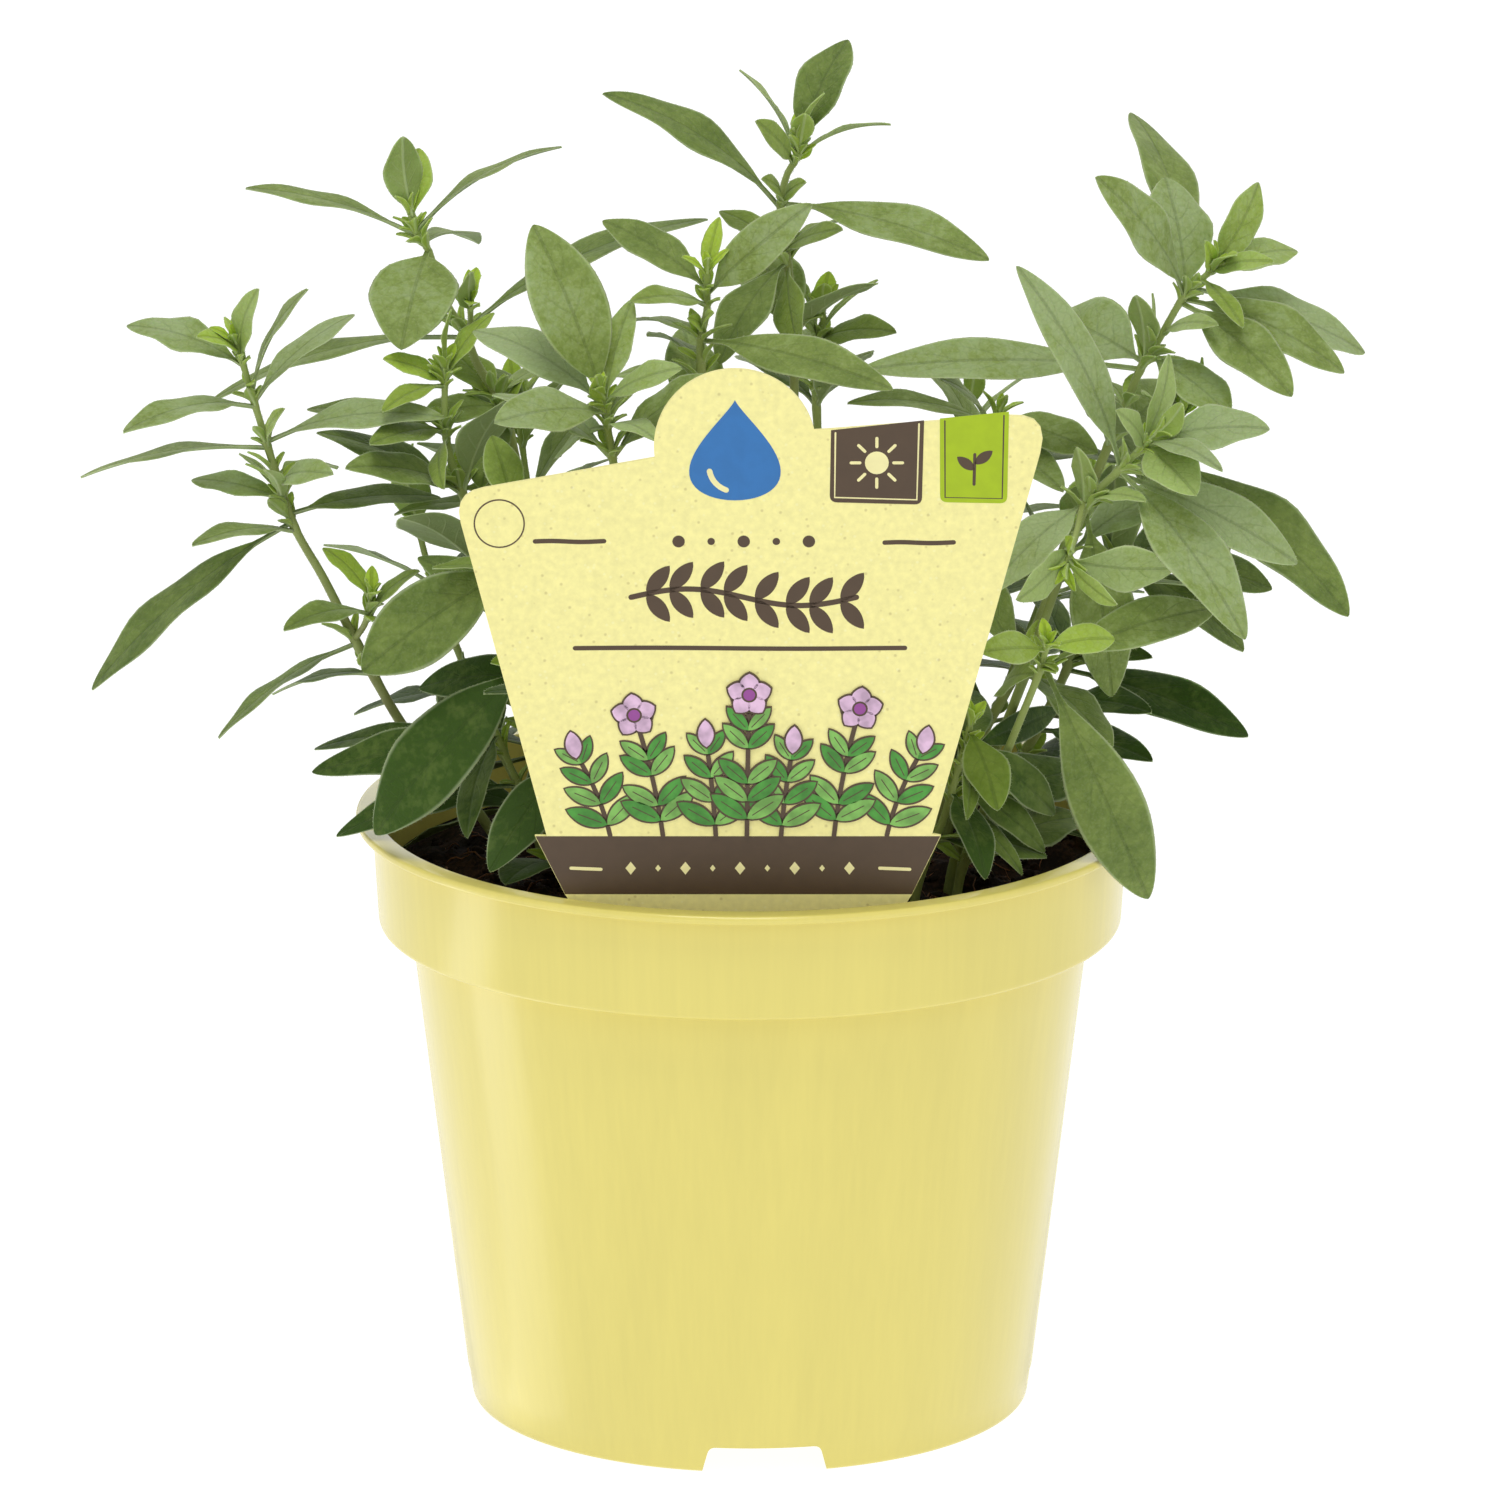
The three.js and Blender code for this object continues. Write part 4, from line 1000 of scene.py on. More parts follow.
def print_sprig(page, root, height, lean, pairs, bloom):
    """An upright sprig with leaves in pairs, and a blossom or a bud at its tip."""
    heading = math.pi / 2 - lean
    path = []
    for index in range(9):
        share = index / 8
        bend = heading - lean * 0.8 * share
        path.append((root[0] + height * share * math.cos(bend), root[1] + height * share * math.sin(bend)))
    page.shape(stroke(path, 0.75), "brown")
    for index in range(pairs):
        share = 0.12 + 0.74 * index / (pairs - 1)
        place = path[round(share * 8)]
        size = 1 - 0.42 * share
        for way in (1, -1):
            turn = heading - lean * share + way * math.radians(58 - 22 * share)
            ink = "leaf" if (index + (way > 0)) % 2 else "leaf_light"
            page.blade(place, turn, 7.4 * size, 2.9 * size, ink)
    page.layer += 3
    tip = path[-1]
    if bloom:
        print_blossom(page, tip, 3.1, heading)
    else:
        page.blade(grow_back(tip, heading, 0.8), heading, 4.6, 2.5, "pink", vein=False)
        page.layer += 3


def print_blossom(page, centre, radius, turn):
    """A plain round blossom of five petals."""
    for index in range(5):
        heading = turn + 2 * math.pi * index / 5
        root = grow_back(centre, heading, -0.5)
        page.blade(root, heading, radius, radius * 0.95, "pink", vein=False)
    page.shape(disc(centre, 0.95 + OUTLINE, 20), "brown", 2)
    page.shape(disc(centre, 0.95, 20), "plum", 3)
    page.layer += 4


def print_band(page):
    """The brown band at the foot, with dashes and a row of dots."""
    for front in (True, False):
        page.shape([(-34.5, 13.46), (-29.77, 3.54), (26.07, 3.54), (30.6, 13.46)], "brown", 0, front)
    for start, end in ((-28.8, -24), (20.9, 25.7)):
        page.shape(stroke([(start, 8), (end, 7.8)], 0.55), "cream", 1)
    for index in range(9):
        u = -1.6 + 4.4 * (index - 4)
        size = 0.85 if index % 2 == 0 else 0.45
        page.shape([(u - size, 8), (u, 8 - size * 1.3), (u + size, 8), (u, 8 + size * 1.3)], "cream", 1)
    page.layer += 2


def print_rules(page):
    """Hand-drawn rules, an empty ring and a garland where a plant's name would stand."""
    for start, end, v in ((-34.3, -23.3, 63.4), (21.5, 32.5, 63.2), (-28, 24.8, 45.4)):
        wave = [(start + (end - start) * s, v + 0.08 * math.sin(7 * s)) for s in np.linspace(0, 1, 14)]
        page.shape(stroke(wave, 0.75), "brown")
    page.shape(disc((-40, 66.4), 4.1, 48), "brown")
    page.shape(disc((-40, 66.4), 3.85, 48), "card", 1)
    for index in range(5):
        u = -1 + 5.2 * (index - 2)
        size = 1.0 if index % 2 == 0 else 0.6
        page.shape(disc((u, 63.4), size, 20), "brown")
    stem = [(-19 + 36 * s, 54 + 1.4 * math.sin(2 * math.pi * s)) for s in np.linspace(0, 1, 30)]
    page.shape(stroke(stem, 0.9), "brown")
    for index in range(8):
        share = 0.06 + 0.86 * index / 7
        place = stem[round(share * 29)]
        for way in (1, -1):
            page.shape(blade_shape(place, way * math.radians(52), 6, 2.6), "brown")
    page.layer += 2


def print_symbols(page):
    """Plain care symbols: a water drop on the round tab, a sun and a seedling on the side tabs."""
    drop = []
    for angle in np.linspace(0, 2 * math.pi, 60, endpoint=False):
        wide = 10.4 * math.sin(angle) * math.sin(angle / 2) ** 1.5
        drop.append((TAB_CENTRE[0] + wide, TAB_CENTRE[1] - 0.6 + 8.4 * math.cos(angle)))
    page.shape(drop, "blue")
    glint = arc((TAB_CENTRE[0], TAB_CENTRE[1] - 3.4), 4.1, math.radians(190), math.radians(250), 9)
    page.shape(stroke(glint, 0.9), "cream", 1)
    brown_tab = [(12.9, 82.05, 0), (12.7, 70, 1.2), (27.4, 69.6, 1.2), (27.7, 83.7, 0)]
    lime_tab = [(30.2, 84, 0), (30.3, 70, 1.2), (41, 69.8, 1.2), (41.2, 85.15, 0)]
    page.shape(rounded(brown_tab), "brown")
    page.shape(rounded(lime_tab), "lime")
    hem = [(13.6, 81.6), (13.5, 70.8), (26.6, 70.4), (26.9, 83.1)]
    page.shape(stroke(hem, 0.28), "cream", 1)
    hem = [(31, 83.6), (31.1, 70.8), (40.2, 70.6), (40.4, 84.5)]
    page.shape(stroke(hem, 0.24), "brown", 1)
    page.shape(disc((20.2, 76.6), 1.9, 24), "cream", 1)
    for index in range(8):
        turn = 2 * math.pi * index / 8
        ray = [grow_back((20.2, 76.6), turn, -2.7), grow_back((20.2, 76.6), turn, -4.1)]
        page.shape(stroke(ray, 0.5), "cream", 1)
    page.shape(stroke([(35.7, 73), (35.8, 78)], 0.5), "brown", 1)
    page.shape(blade_shape((35.8, 76.4), math.radians(38), 3.6, 1.7), "brown", 1)
    page.shape(blade_shape((35.8, 75.4), math.radians(142), 3.6, 1.7), "brown", 1)
    page.layer += 3


SPRIGS = [
    ((-22.5, 13.6), 15, math.radians(-12), 4, False),
    ((22, 13.6), 16, math.radians(12), 4, False),
    ((-14, 13.6), 21, math.radians(-7), 5, True),
    ((13.5, 13.6), 22, math.radians(6), 5, True),
    ((-5.5, 13.6), 16, math.radians(-3), 4, False),
    ((5, 13.6), 15, math.radians(4), 4, False),
    ((-0.5, 13.6), 24, math.radians(0.5), 6, True),
]


# Pale and dark flecks: their spacing in millimetres, where each fades out in shares of that, its
# strength and its colour
CARD_FLECKS = [(1.5, 0.08, 0.2, 0.45, 0xFFFBC8), (2.1, 0.06, 0.16, 0.34, 0xA08C55)]


def card_stock(settings):
    """Printed plastic card with the look of recycled paper: matt, with tiny darker and paler flecks."""
    material, tree, shader = new_material("printed_card", settings.card, 0.5, ior=1.46)
    place = add(tree, "TexCoord").outputs["Object"]
    clouds = add(tree, "TexNoise", {"Vector": place, "Scale": 1 / (1.1 * MM), "Detail": 5.0})
    grain = add(tree, "MapRange", (clouds, 0.3, 0.7))
    low, high = tinted(settings.card, 0.93), tinted(settings.card, 1.05)
    colour = add(tree, "Mix", {0: grain, 6: low, 7: high}, **COLOURS)
    for spacing, inner, outer, strength, fleck in CARD_FLECKS:
        cells = add(tree, "TexVoronoi", {"Vector": place, "Scale": 1 / (spacing * MM)})
        share = add(tree, "MapRange", (cells, inner, outer, strength, 0.0))
        colour = add(tree, "Mix", {0: share, 6: colour, 7: linear(fleck)}, **COLOURS)
    feed(tree, shader, {"Base Color": colour})
    return material


def ink_film(name, colour, deeper):
    """Offset ink, a little uneven like a watercolour wash."""
    material, tree, shader = new_material(f"ink_{name}", colour, 0.45, ior=1.46)
    place = add(tree, "TexCoord").outputs["Object"]
    wash = add(tree, "TexNoise", {"Vector": place, "Scale": 1 / (2.4 * MM), "Detail": 2.0})
    share = add(tree, "MapRange", (wash, 0.35, 0.65))
    mixed = add(tree, "Mix", {0: share, 6: tinted(colour, deeper), 7: tuple(colour)}, **COLOURS)
    feed(tree, shader, {"Base Color": mixed})
    return material


class OREGANO_OT_label(bpy.types.Operator):
    """Add the plant label and its print"""

    bl_idname = "oregano.label"
    bl_label = "Plant Label"

    def execute(self, context):
        settings = context.scene.oregano_label
        half = LABEL_THICKNESS / 2
        outline = [(p.x, p.y) for p in label_outline()]
        points, faces = prism(outline, -half, half, on_label)
        inks = [card_stock(settings)]
        card = make_object("label_card", points, faces, inks, sharp=30)
        check_faces(card)
        finish_piece(card, "label_card", "label")
        page = Print()
        print_band(page)
        print_rules(page)
        print_symbols(page)
        for sprig in SPRIGS:
            print_sprig(page, *sprig)
        for ink in INKS[1:]:
            deeper = 0.62 if ink in ("leaf", "leaf_light", "pink") else 0.93
            inks.append(ink_film(ink, getattr(settings, ink), deeper))
        film = make_object("label_print", page.points, page.faces, inks, page.slots, sharp=30)
        check_faces(film)
        finish_piece(film, "label_card")
        return {"FINISHED"}


class Draws:
    """The repeatable numbers from 0 to 1 that place the leaves of the solids."""

    def __init__(self, seed):
        self.seed = seed

    def number(self):
        self.seed = self.seed * 16807 % 2147483647
        return self.seed / 2147483647

    def spread(self, amount):
        return amount * (2 * self.number() - 1)


def unit(vector):
    return vector / np.linalg.norm(vector)


def turned(vector, axis, angle):
    """A vector turned about an axis."""
    return (
        vector * math.cos(angle) + np.cross(axis, vector) * math.sin(angle)
        + axis * np.dot(axis, vector) * (1 - math.cos(angle))
    )


class Stem:
    """A smooth line through its points. The spacing of the points sets how sharply it bends."""

    def __init__(self, points, rooted):
        self.points = np.array(points, float)
        self.rooted = rooted
        self.spans = len(points) - 1
        self.ends = np.vstack([
            2 * self.points[0] - self.points[1], self.points, 2 * self.points[-1] - self.points[-2]
        ])
        marks = [self.at(step / 200) for step in range(201)]
        self.length = sum(np.linalg.norm(b - a) for a, b in zip(marks, marks[1:]))

    def at(self, t):
        span = min(int(self.spans * t), self.spans - 1)
        weight = self.spans * t - span
        p0, p1, p2, p3 = self.ends[span:span + 4]
        d0, d1, d2 = (max(np.linalg.norm(b - a), 1e-9) ** 0.5 for a, b in ((p0, p1), (p1, p2), (p2, p3)))
        m1 = ((p1 - p0) / d0 - (p2 - p0) / (d0 + d1) + (p2 - p1) / d1) * d1
        m2 = ((p2 - p1) / d1 - (p3 - p1) / (d1 + d2) + (p3 - p2) / d2) * d1
        c2 = -3 * p1 + 3 * p2 - 2 * m1 - m2
        c3 = 2 * p1 - 2 * p2 + m1 + m2
        return p1 + m1 * weight + c2 * weight ** 2 + c3 * weight ** 3

    def way(self, t):
        return unit(self.at(min(t + 0.01, 1)) - self.at(max(t - 0.01, 0)))

    def radius(self, t):
        root, tip = ROOTED_RADII if self.rooted else SIDE_SHOOT_RADII
        return root + (tip - root) * t


class Leaf:
    """One leaf: where on its stem it springs, where its tip is, and its width, roll and arch."""

    def __init__(self, stem, t, tip, width, roll, arch):
        middle = stem.at(t)
        self.stemway = stem.way(t)
        out = np.asarray(tip, float) - middle
        out = unit(out - self.stemway * np.dot(out, self.stemway))
        self.base = middle + out * ROOT_OFFSET * stem.radius(t)
        self.tip = np.asarray(tip, float)
        self.width, self.roll, self.arch, self.t = width, math.radians(roll), arch, t

    def frame(self):
        along = unit(self.tip - self.base)
        up = self.stemway - along * np.dot(self.stemway, along)
        if np.linalg.norm(up) < 0.2:
            up = np.array((self.base[0], self.base[1], 60.0))
            up -= along * np.dot(up, along)
        up = unit(up)
        side = np.cross(along, up)
        across = side * math.cos(self.roll) + up * math.sin(self.roll)
        face = up * math.cos(self.roll) - side * math.sin(self.roll)
        return across, face

    def bent_tip(self, lift, swing):
        across, face = self.frame()
        reach = turned(self.tip - self.base, across, math.radians(lift))
        return self.base + turned(reach, face, math.radians(swing))

    def settle(self, corners):
        """Takes the bend that the solid leaf has. Returns whether the solid has this leaf at all."""
        for bend in BENDS:
            tip = self.bent_tip(*bend)
            place = (Vector(tip) + Vector((AXIS_X, AXIS_Y, 0))) * MM
            if corners.find(place)[2] < TIP_REACH * MM:
                self.tip = tip
                return True
        return False


def table_leaves(rows, stem, draws, spaced=True):
    """Leaves typed in a table. Those of one node stand a little apart along the stem."""
    leaves, used = [], []
    for node, x, y, z, width, roll in rows:
        t, step = node, 0
        while spaced and any(abs(other - t) * stem.length < NODE_STEP * 0.95 for other in used):
            step += 1
            shift = -step if node > 0.93 else (1 if step % 2 else -1) * math.ceil(step / 2)
            t = node + shift * NODE_STEP / stem.length
        used.append(t)
        leaves.append(Leaf(stem, t, (x, y, z), width, roll, 0.05 + 0.05 * draws.number()))
    return leaves


def rule_leaves(pairs, stem, draws):
    """Opposite pairs up a stem, each pair a quarter turn from the last, smaller towards the tip."""
    start, end, count, length, width = pairs
    leaves = []
    turn = draws.number() * math.pi
    for pair in range(count):
        share = pair / max(1, count - 1)
        t = min(0.97, start + (end - start) * share)
        stemway = stem.way(t)
        first = unit(np.array((1.0, 0, 0)) - stemway * stemway[0])
        first = turned(first, stemway, turn + pair * math.pi / 2 + draws.spread(0.2))
        size = 1 if end < 1 else 1 - 0.62 * share ** 3
        for way in (1, -1):
            pitch = math.radians(15 + (15 if end < 1 else 50 * share ** 2) + draws.spread(9))
            reach = first * way * math.cos(pitch) + stemway * math.sin(pitch)
            reach[2] -= 0.25 * (1 - share)
            long = length * size * (1 + draws.spread(0.12))
            tip = stem.at(t) + unit(reach) * long
            wide = width * size * (1 + draws.spread(0.1))
            roll = draws.spread(14)
            leaves.append(Leaf(stem, t, tip, wide, roll, 0.05 + 0.05 * draws.number()))
    return leaves


class Skin(Shell):
    """One leafy stem's mesh with its painted values. Blade holds how far a point lies from the
    midrib in millimetres, its share of the leaf's length, and half the leaf's width there. Growth
    holds youth, tone and 1 on an upper face, and on a stem the share of its length and its shade."""

    def __init__(self):
        super().__init__()
        self.blade, self.growth = [], []

    def cover(self, points, faces, slot, blade, growth):
        self.gather(points, faces, slot)
        self.blade += [tuple(b) for b in blade]
        self.growth += [tuple(g) for g in growth]

    def build(self, name, materials):
        piece = make_object(name, self.points, self.faces, materials, self.slots, sharp=0)
        for key, values in (("blade", self.blade), ("growth", self.growth)):
            painted = piece.data.attributes.new(key, "FLOAT_VECTOR", "POINT")
            painted.data.foreach_set("vector", np.asarray(values, np.float32).ravel())
        return piece


COLUMNS = np.array([-1, -0.94, -0.8, -0.55, -0.3, -0.1, 0, 0.1, 0.3, 0.55, 0.8, 0.94, 1])
FEW_COLUMNS = np.array([-1, -0.85, -0.45, 0, 0.45, 0.85, 1])
SMALL_LEAF = 10
EDGE_THICKNESS = 0.14
MIDDLE_THICKNESS = 0.34
STALK_THICKNESS = 0.75


def blade_share(s, stalk, widest):
    """Share of the full half width along a leaf: a short stalk, then an ellipse with a blunt tip."""
    q = np.clip((s - stalk) / (1 - stalk), 0, 1)
    return np.sin(np.pi * q ** widest) ** (1 - 0.32 * q)


# The share of a leaf that is stalk and its rows of points, for leaves longer than so many millimetres
LEAF_SIZES = [(24, 0.12, 26), (12, 0.07, 20), (SMALL_LEAF, 0.03, 14), (0, 0.03, 9)]
WAVE = 0.1
MOST_TWIST = 0.16


def leaf_face(leaf, s, u, half, chance):
    """The upper face: how far across each point lies, and its place. It is arched, folded at the
    midrib, wavy along its margins and a little twisted."""
    across, face = leaf.frame()
    reach = leaf.tip - leaf.base
    arch = leaf.arch * np.linalg.norm(reach) * 4 * s * (1 - s)
    centre = leaf.base + np.outer(s, reach) + np.outer(arch, face)
    wave = WAVE * np.sin(2 * np.pi * (s * (1.4 + chance.random()) + chance.random()))
    wave *= np.sin(np.pi * s) ** 0.5
    twist = chance.uniform(-MOST_TWIST, MOST_TWIST)
    flat = half * u
    right = np.sign(u) * 0.5 + 0.5
    rise = FOLD * np.sqrt(flat ** 2 + 0.08) - 0.0875 * half * u ** 4
    rise += half * u ** 2 * (wave * (1 - right) - wave[::-1] * right)
    rise += twist * flat * (s - 0.3)
    return flat, centre[:, None, :] + across * flat[..., None] + face * rise[..., None]


def leaf_thickness(s, u, flat, stalk):
    """How thick the leaf is: thin at the margin, thicker along the rib, and round in its stalk."""
    rib = np.exp(-((flat / 0.55) ** 2)) * (1 - s) ** 0.6
    stalky = np.clip((stalk + 0.06 - s) / 0.08, 0, 1)
    thick = EDGE_THICKNESS + (MIDDLE_THICKNESS - EDGE_THICKNESS) * (1 - u ** 2) + 0.3 * rib
    return thick * (1 - stalky) + STALK_THICKNESS * (1 - 0.5 * np.abs(u)) * stalky


def leaf_skin(skin, leaf, tone, youth, chance):
    """Adds a leaf of an upper and a lower face that meet in a thin margin. Returns both margins."""
    across, face = leaf.frame()
    reach = leaf.tip - leaf.base
    length = np.linalg.norm(reach)
    stalk, count = next((stalk, count) for least, stalk, count in LEAF_SIZES if length > least)
    u = COLUMNS if length > SMALL_LEAF else FEW_COLUMNS
    s = 0.5 - 0.5 * np.cos(np.pi * np.linspace(0.035, 0.985, count))[:, None]
    widest = chance.uniform(0.86, 1.12)
    least = np.where(s < 0.5, PETIOLE * 0.85, 0.02)
    half = np.maximum(blade_share(s, stalk, widest) * leaf.width / 2, least)
    flat, upper = leaf_face(leaf, s, u, half, chance)
    thick = leaf_thickness(s, u, flat, stalk)
    lower = upper[:, 1:-1] - face * thick[:, 1:-1, None]
    ring = 2 * len(u) - 2
    points = np.concatenate([upper, lower[:, ::-1]], axis=1).reshape(-1, 3)
    points = np.vstack([points, leaf.base - 0.2 * unit(reach), leaf.tip])
    root, tip = len(points) - 2, len(points) - 1
    faces = bands(count, ring)
    last = (count - 1) * ring
    for column in range(ring):
        after = (column + 1) % ring
        faces += [(root, after, column), (tip, last + column, last + after)]
    around = np.concatenate([flat, flat[:, -2:0:-1]], axis=1)
    blade = np.stack(np.broadcast_arrays(around, s, np.maximum(half, 0.3)), axis=2).reshape(-1, 3)
    blade = np.vstack([blade, (0, 0, 0.3), (0, 1, 0.3)])
    tops = np.array([0.6, *[1] * (len(u) - 2), 0.6, *[0] * (len(u) - 2)])
    growth = [(youth, tone, top) for top in (*np.tile(tops, count), 1, 0.6)]
    skin.cover(points, faces, 0, blade, growth)
    return upper[:, 0], upper[:, -1]


HAIR_THICK = 0.035
MARGIN_HAIR_STEP = 0.75
STEM_HAIRS = 11


def hair(skin, root, tip, growth):
    """A fine hair: a slim pyramid."""
    ahead = tip - root
    across = unit(np.cross(ahead, (0.31, 0.55, 0.77)))
    other = unit(np.cross(ahead, across))
    turns = (0, 2.094, 4.189)
    corners = [root + HAIR_THICK * (across * math.cos(a) + other * math.sin(a)) for a in turns]
    faces = [(0, 2, 1), (0, 1, 3), (1, 2, 3), (2, 0, 3)]
    skin.cover([*corners, tip], faces, 2, [(0, 0, 1)] * 4, [(*growth, 1)] * 4)


def margin_hairs(skin, leaf, margins, chance, long, growth):
    """Hairs along both margins of a leaf, leaning towards its tip."""
    across, face = leaf.frame()
    ahead = unit(leaf.tip - leaf.base)
    for way, margin in zip((-1, 1), margins):
        for a, b in zip(margin[1:-1], margin[2:]):
            steps = max(1, round(np.linalg.norm(b - a) / MARGIN_HAIR_STEP))
            for step in range(steps):
                root = a + (b - a) * (step + chance.random()) / steps
                out = across * way + ahead * chance.uniform(0.1, 0.9) + face * chance.uniform(-0.5, 0.5)
                size = long * chance.uniform(0.5, 1.0)
                hair(skin, root - unit(out) * 0.06, root + unit(out) * size, growth)


STEM_SIDES = 12
STEM_STEP = 1.8
SQUARENESS = 3.4
SWELL, SWELL_REACH = 0.22, 1.3
# How much slimmer a stem is than in its solid, which is kept stout
SLENDER = 0.72


def stem_skin(skin, stem, nodes, tone):
    """Adds a square stem with rounded edges, a little thicker where leaves spring from it."""
    count = max(4, math.ceil(stem.length / STEM_STEP))
    points, growth, rings = [], [], []
    for index in range(count + 1):
        t = index / count
        way = stem.way(t)
        across = unit(np.array((0, 1.0, 0)) - way * way[1])
        side = np.cross(across, way)
        near = (math.exp(-(((t - node) * stem.length / SWELL_REACH) ** 2)) for node in nodes)
        radius = stem.radius(t) * (1 + SWELL * max(near, default=0)) * SLENDER
        if index == count:
            radius *= 0.6
        for corner in range(STEM_SIDES):
            angle = 2 * math.pi * corner / STEM_SIDES
            power = abs(math.cos(angle)) ** SQUARENESS + abs(math.sin(angle)) ** SQUARENESS
            away = radius / power ** (1 / SQUARENESS)
            points.append(stem.at(t) + away * (side * math.cos(angle) + across * math.sin(angle)))
            growth.append((t, tone, 1))
        rings.append((stem.at(t), side, across, radius, t))
    faces = [tuple(range(STEM_SIDES)), tuple(reversed(range(len(points) - STEM_SIDES, len(points))))]
    faces += [face[::-1] for face in bands(count + 1, STEM_SIDES)]
    skin.cover(points, faces, 1, [(0, 0, 1)] * len(points), growth)
    return rings


def stem_hairs(skin, rings, chance, long, tone):
    """Short hairs that stand off a stem above the soil."""
    for (place, side, across, radius, t), (ahead, *_) in zip(rings, rings[1:]):
        if place[2] < SOIL_TOP + 2:
            continue
        for _ in range(STEM_HAIRS):
            angle = chance.uniform(0, 2 * math.pi)
            out = side * math.cos(angle) + across * math.sin(angle)
            root = place + (ahead - place) * chance.random() + out * radius * 0.95
            out = out + unit(ahead - place) * chance.uniform(-0.3, 0.4)
            hair(skin, root, root + out * long * chance.uniform(0.5, 1), (t, tone))


# Length, width and slope in degrees of the pairs at a tip
TIP_PAIRS = ((5.2, 2.4, 48), (3.4, 1.7, 66))


def tip_leaves(stem, chance):
    """The two youngest pairs at a stem's tip, still folded upwards."""
    leaves = []
    turn = chance.uniform(0, math.pi)
    for pair, (long, wide, pitch) in enumerate(TIP_PAIRS):
        t = 0.985 + 0.012 * pair
        way = stem.way(t)
        first = unit(np.cross(way, (0.3, 0.9, 0.2)))
        first = turned(first, way, turn + pair * math.pi / 2)
        for side in (1, -1):
            lift = math.radians(pitch + chance.uniform(-8, 8))
            reach = first * side * math.cos(lift) + way * math.sin(lift)
            size = long * chance.uniform(0.85, 1.1)
            leaves.append(Leaf(stem, t, stem.at(t) + reach * size, wide, chance.uniform(-15, 15), 0.08))
    return leaves


def axil_leaves(stem, nodes, chance, most):
    """Pairs of small leaves that sprout where grown leaves join the stem, most per node."""
    leaves = []
    for node in nodes:
        if node > 0.92:
            continue
        way = stem.way(node)
        turn = chance.uniform(0, 2 * math.pi)
        for pair in range(chance.randint(1, most)):
            for side in (0, math.pi):
                first = unit(np.cross(way, (0.3, 0.9, 0.2)))
                first = turned(first, way, turn + side + pair * math.pi / 2)
                lift = math.radians(chance.uniform(22, 55))
                reach = first * math.cos(lift) + way * math.sin(lift)
                long = chance.uniform(4.0, 8.5) * (1.2 - 0.75 * node)
                t = min(1, node + (0.6 + 1.4 * pair) / stem.length)
                roll = chance.uniform(-20, 20)
                leaves.append(Leaf(stem, t, stem.at(t) + reach * long, long * 0.42, roll, 0.08))
    return leaves


# Stems with up to two pairs of small leaves where a grown leaf joins. The others have one.
FULL_STEMS = (
    "shoot_upper_left", "shoot_left_inner", "shoot_mid_left", "shoot_right_front", "shoot_right_low",
    "shoot_right_back", "shoot_mid_right", "shoot_small_behind", "shoot_left_low",
)
# Stems that are fully darkened low down, browner with age and darker as painted shade under the
# leaves. The others are partly so.
DARK_STEMS = ("shoot_tallest", "shoot_upper_left", "shoot_mid_right", "shoot_left_outer")
# How much lighter or darker the leaves of a stem are than their height gives
SHOOT_TONES = {
    "shoot_left_outer": 0.12, "shoot_left_inner": -0.05, "shoot_mid_left": 0.22, "shoot_middle": -0.05,
    "shoot_upper_right": 0.2, "shoot_right_front": 0.42, "shoot_right_low": 0.34,
    "shoot_right_back": -0.05, "shoot_mid_right": -0.1, "shoot_tallest": 0.05, "shoot_left_low": -0.25,
}


def leaf_age_and_shade(leaf, shade, chance):
    """How light and how young a leaf is: low ones are darker, partly as older leaves and partly as
    painted shade deep in the bush, those at the back are darker as painted shade, and tips are bright.
    """
    middle = (leaf.base + leaf.tip) / 2
    # Darker low down, partly with age and partly as painted shade, and darker behind as painted shade
    share = min(1, max(0, (middle[2] - 108) / 50))
    tone = 0.85 * share ** 2 * (3 - 2 * share) - 0.006 * max(0, middle[1] + 5)
    tone += shade + chance.uniform(-0.2, 0.26)
    length = np.linalg.norm(leaf.tip - leaf.base)
    youth = max(0, 1.55 - length / 12.5) * (1 if leaf.t > 0.8 else 0.55)
    return min(1.3, max(0, tone)), min(1, youth)


def corner_tree(name):
    """The corners of a leafy stem's solid, ready for a search."""
    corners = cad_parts[name].data.vertices
    tree = kdtree.KDTree(len(corners))
    for index, corner in enumerate(corners):
        tree.insert(corner.co, index)
    tree.balance()
    return tree


def grow_shoot(name, axes, draws, settings, materials):
    """Builds one leafy stem around its solid."""
    skin = Skin()
    chance = random.Random(name)
    steady = Draws(LEAF_SEED)
    corners = corner_tree(name)
    long = settings.hair_length / MM
    for index, axis in enumerate(axes):
        stem = Stem(axis["stem"], index == 0)
        leaves = table_leaves(axis.get("leaves", []), stem, draws)
        if "pairs" in axis:
            leaves += rule_leaves(axis["pairs"], stem, draws)
        leaves = [leaf for leaf in leaves if leaf.settle(corners)]
        nodes = sorted({round(leaf.t, 2) for leaf in leaves})
        leaves += table_leaves(TINY_LEAVES.get((name, index), []), stem, steady, spaced=False)
        leaves += tip_leaves(stem, chance)
        leaves += axil_leaves(stem, nodes, chance, 2 if name in FULL_STEMS else 1)
        # How far the stem's lower part takes the old stem colour, partly age and partly painted shade
        shade = 1.0 if name in DARK_STEMS else chance.uniform(0.45, 0.8)
        rings = stem_skin(skin, stem, nodes, shade)
        stem_hairs(skin, rings, chance, long, shade)
        for leaf in leaves:
            tone, youth = leaf_age_and_shade(leaf, SHOOT_TONES.get(name, 0), chance)
            margins = leaf_skin(skin, leaf, tone, youth, chance)
            margin_hairs(skin, leaf, margins, chance, long * 0.8, (youth, tone))
    piece = skin.build(name.replace("shoot", "leafy_stem"), materials)
    check_faces(piece)
    finish_piece(piece, "foliage", name)


# Half widths in millimetres between which the midrib fades, and how many side veins there are
MIDRIB_FADE = (0.12, 0.36)
SIDE_VEINS = 5.4
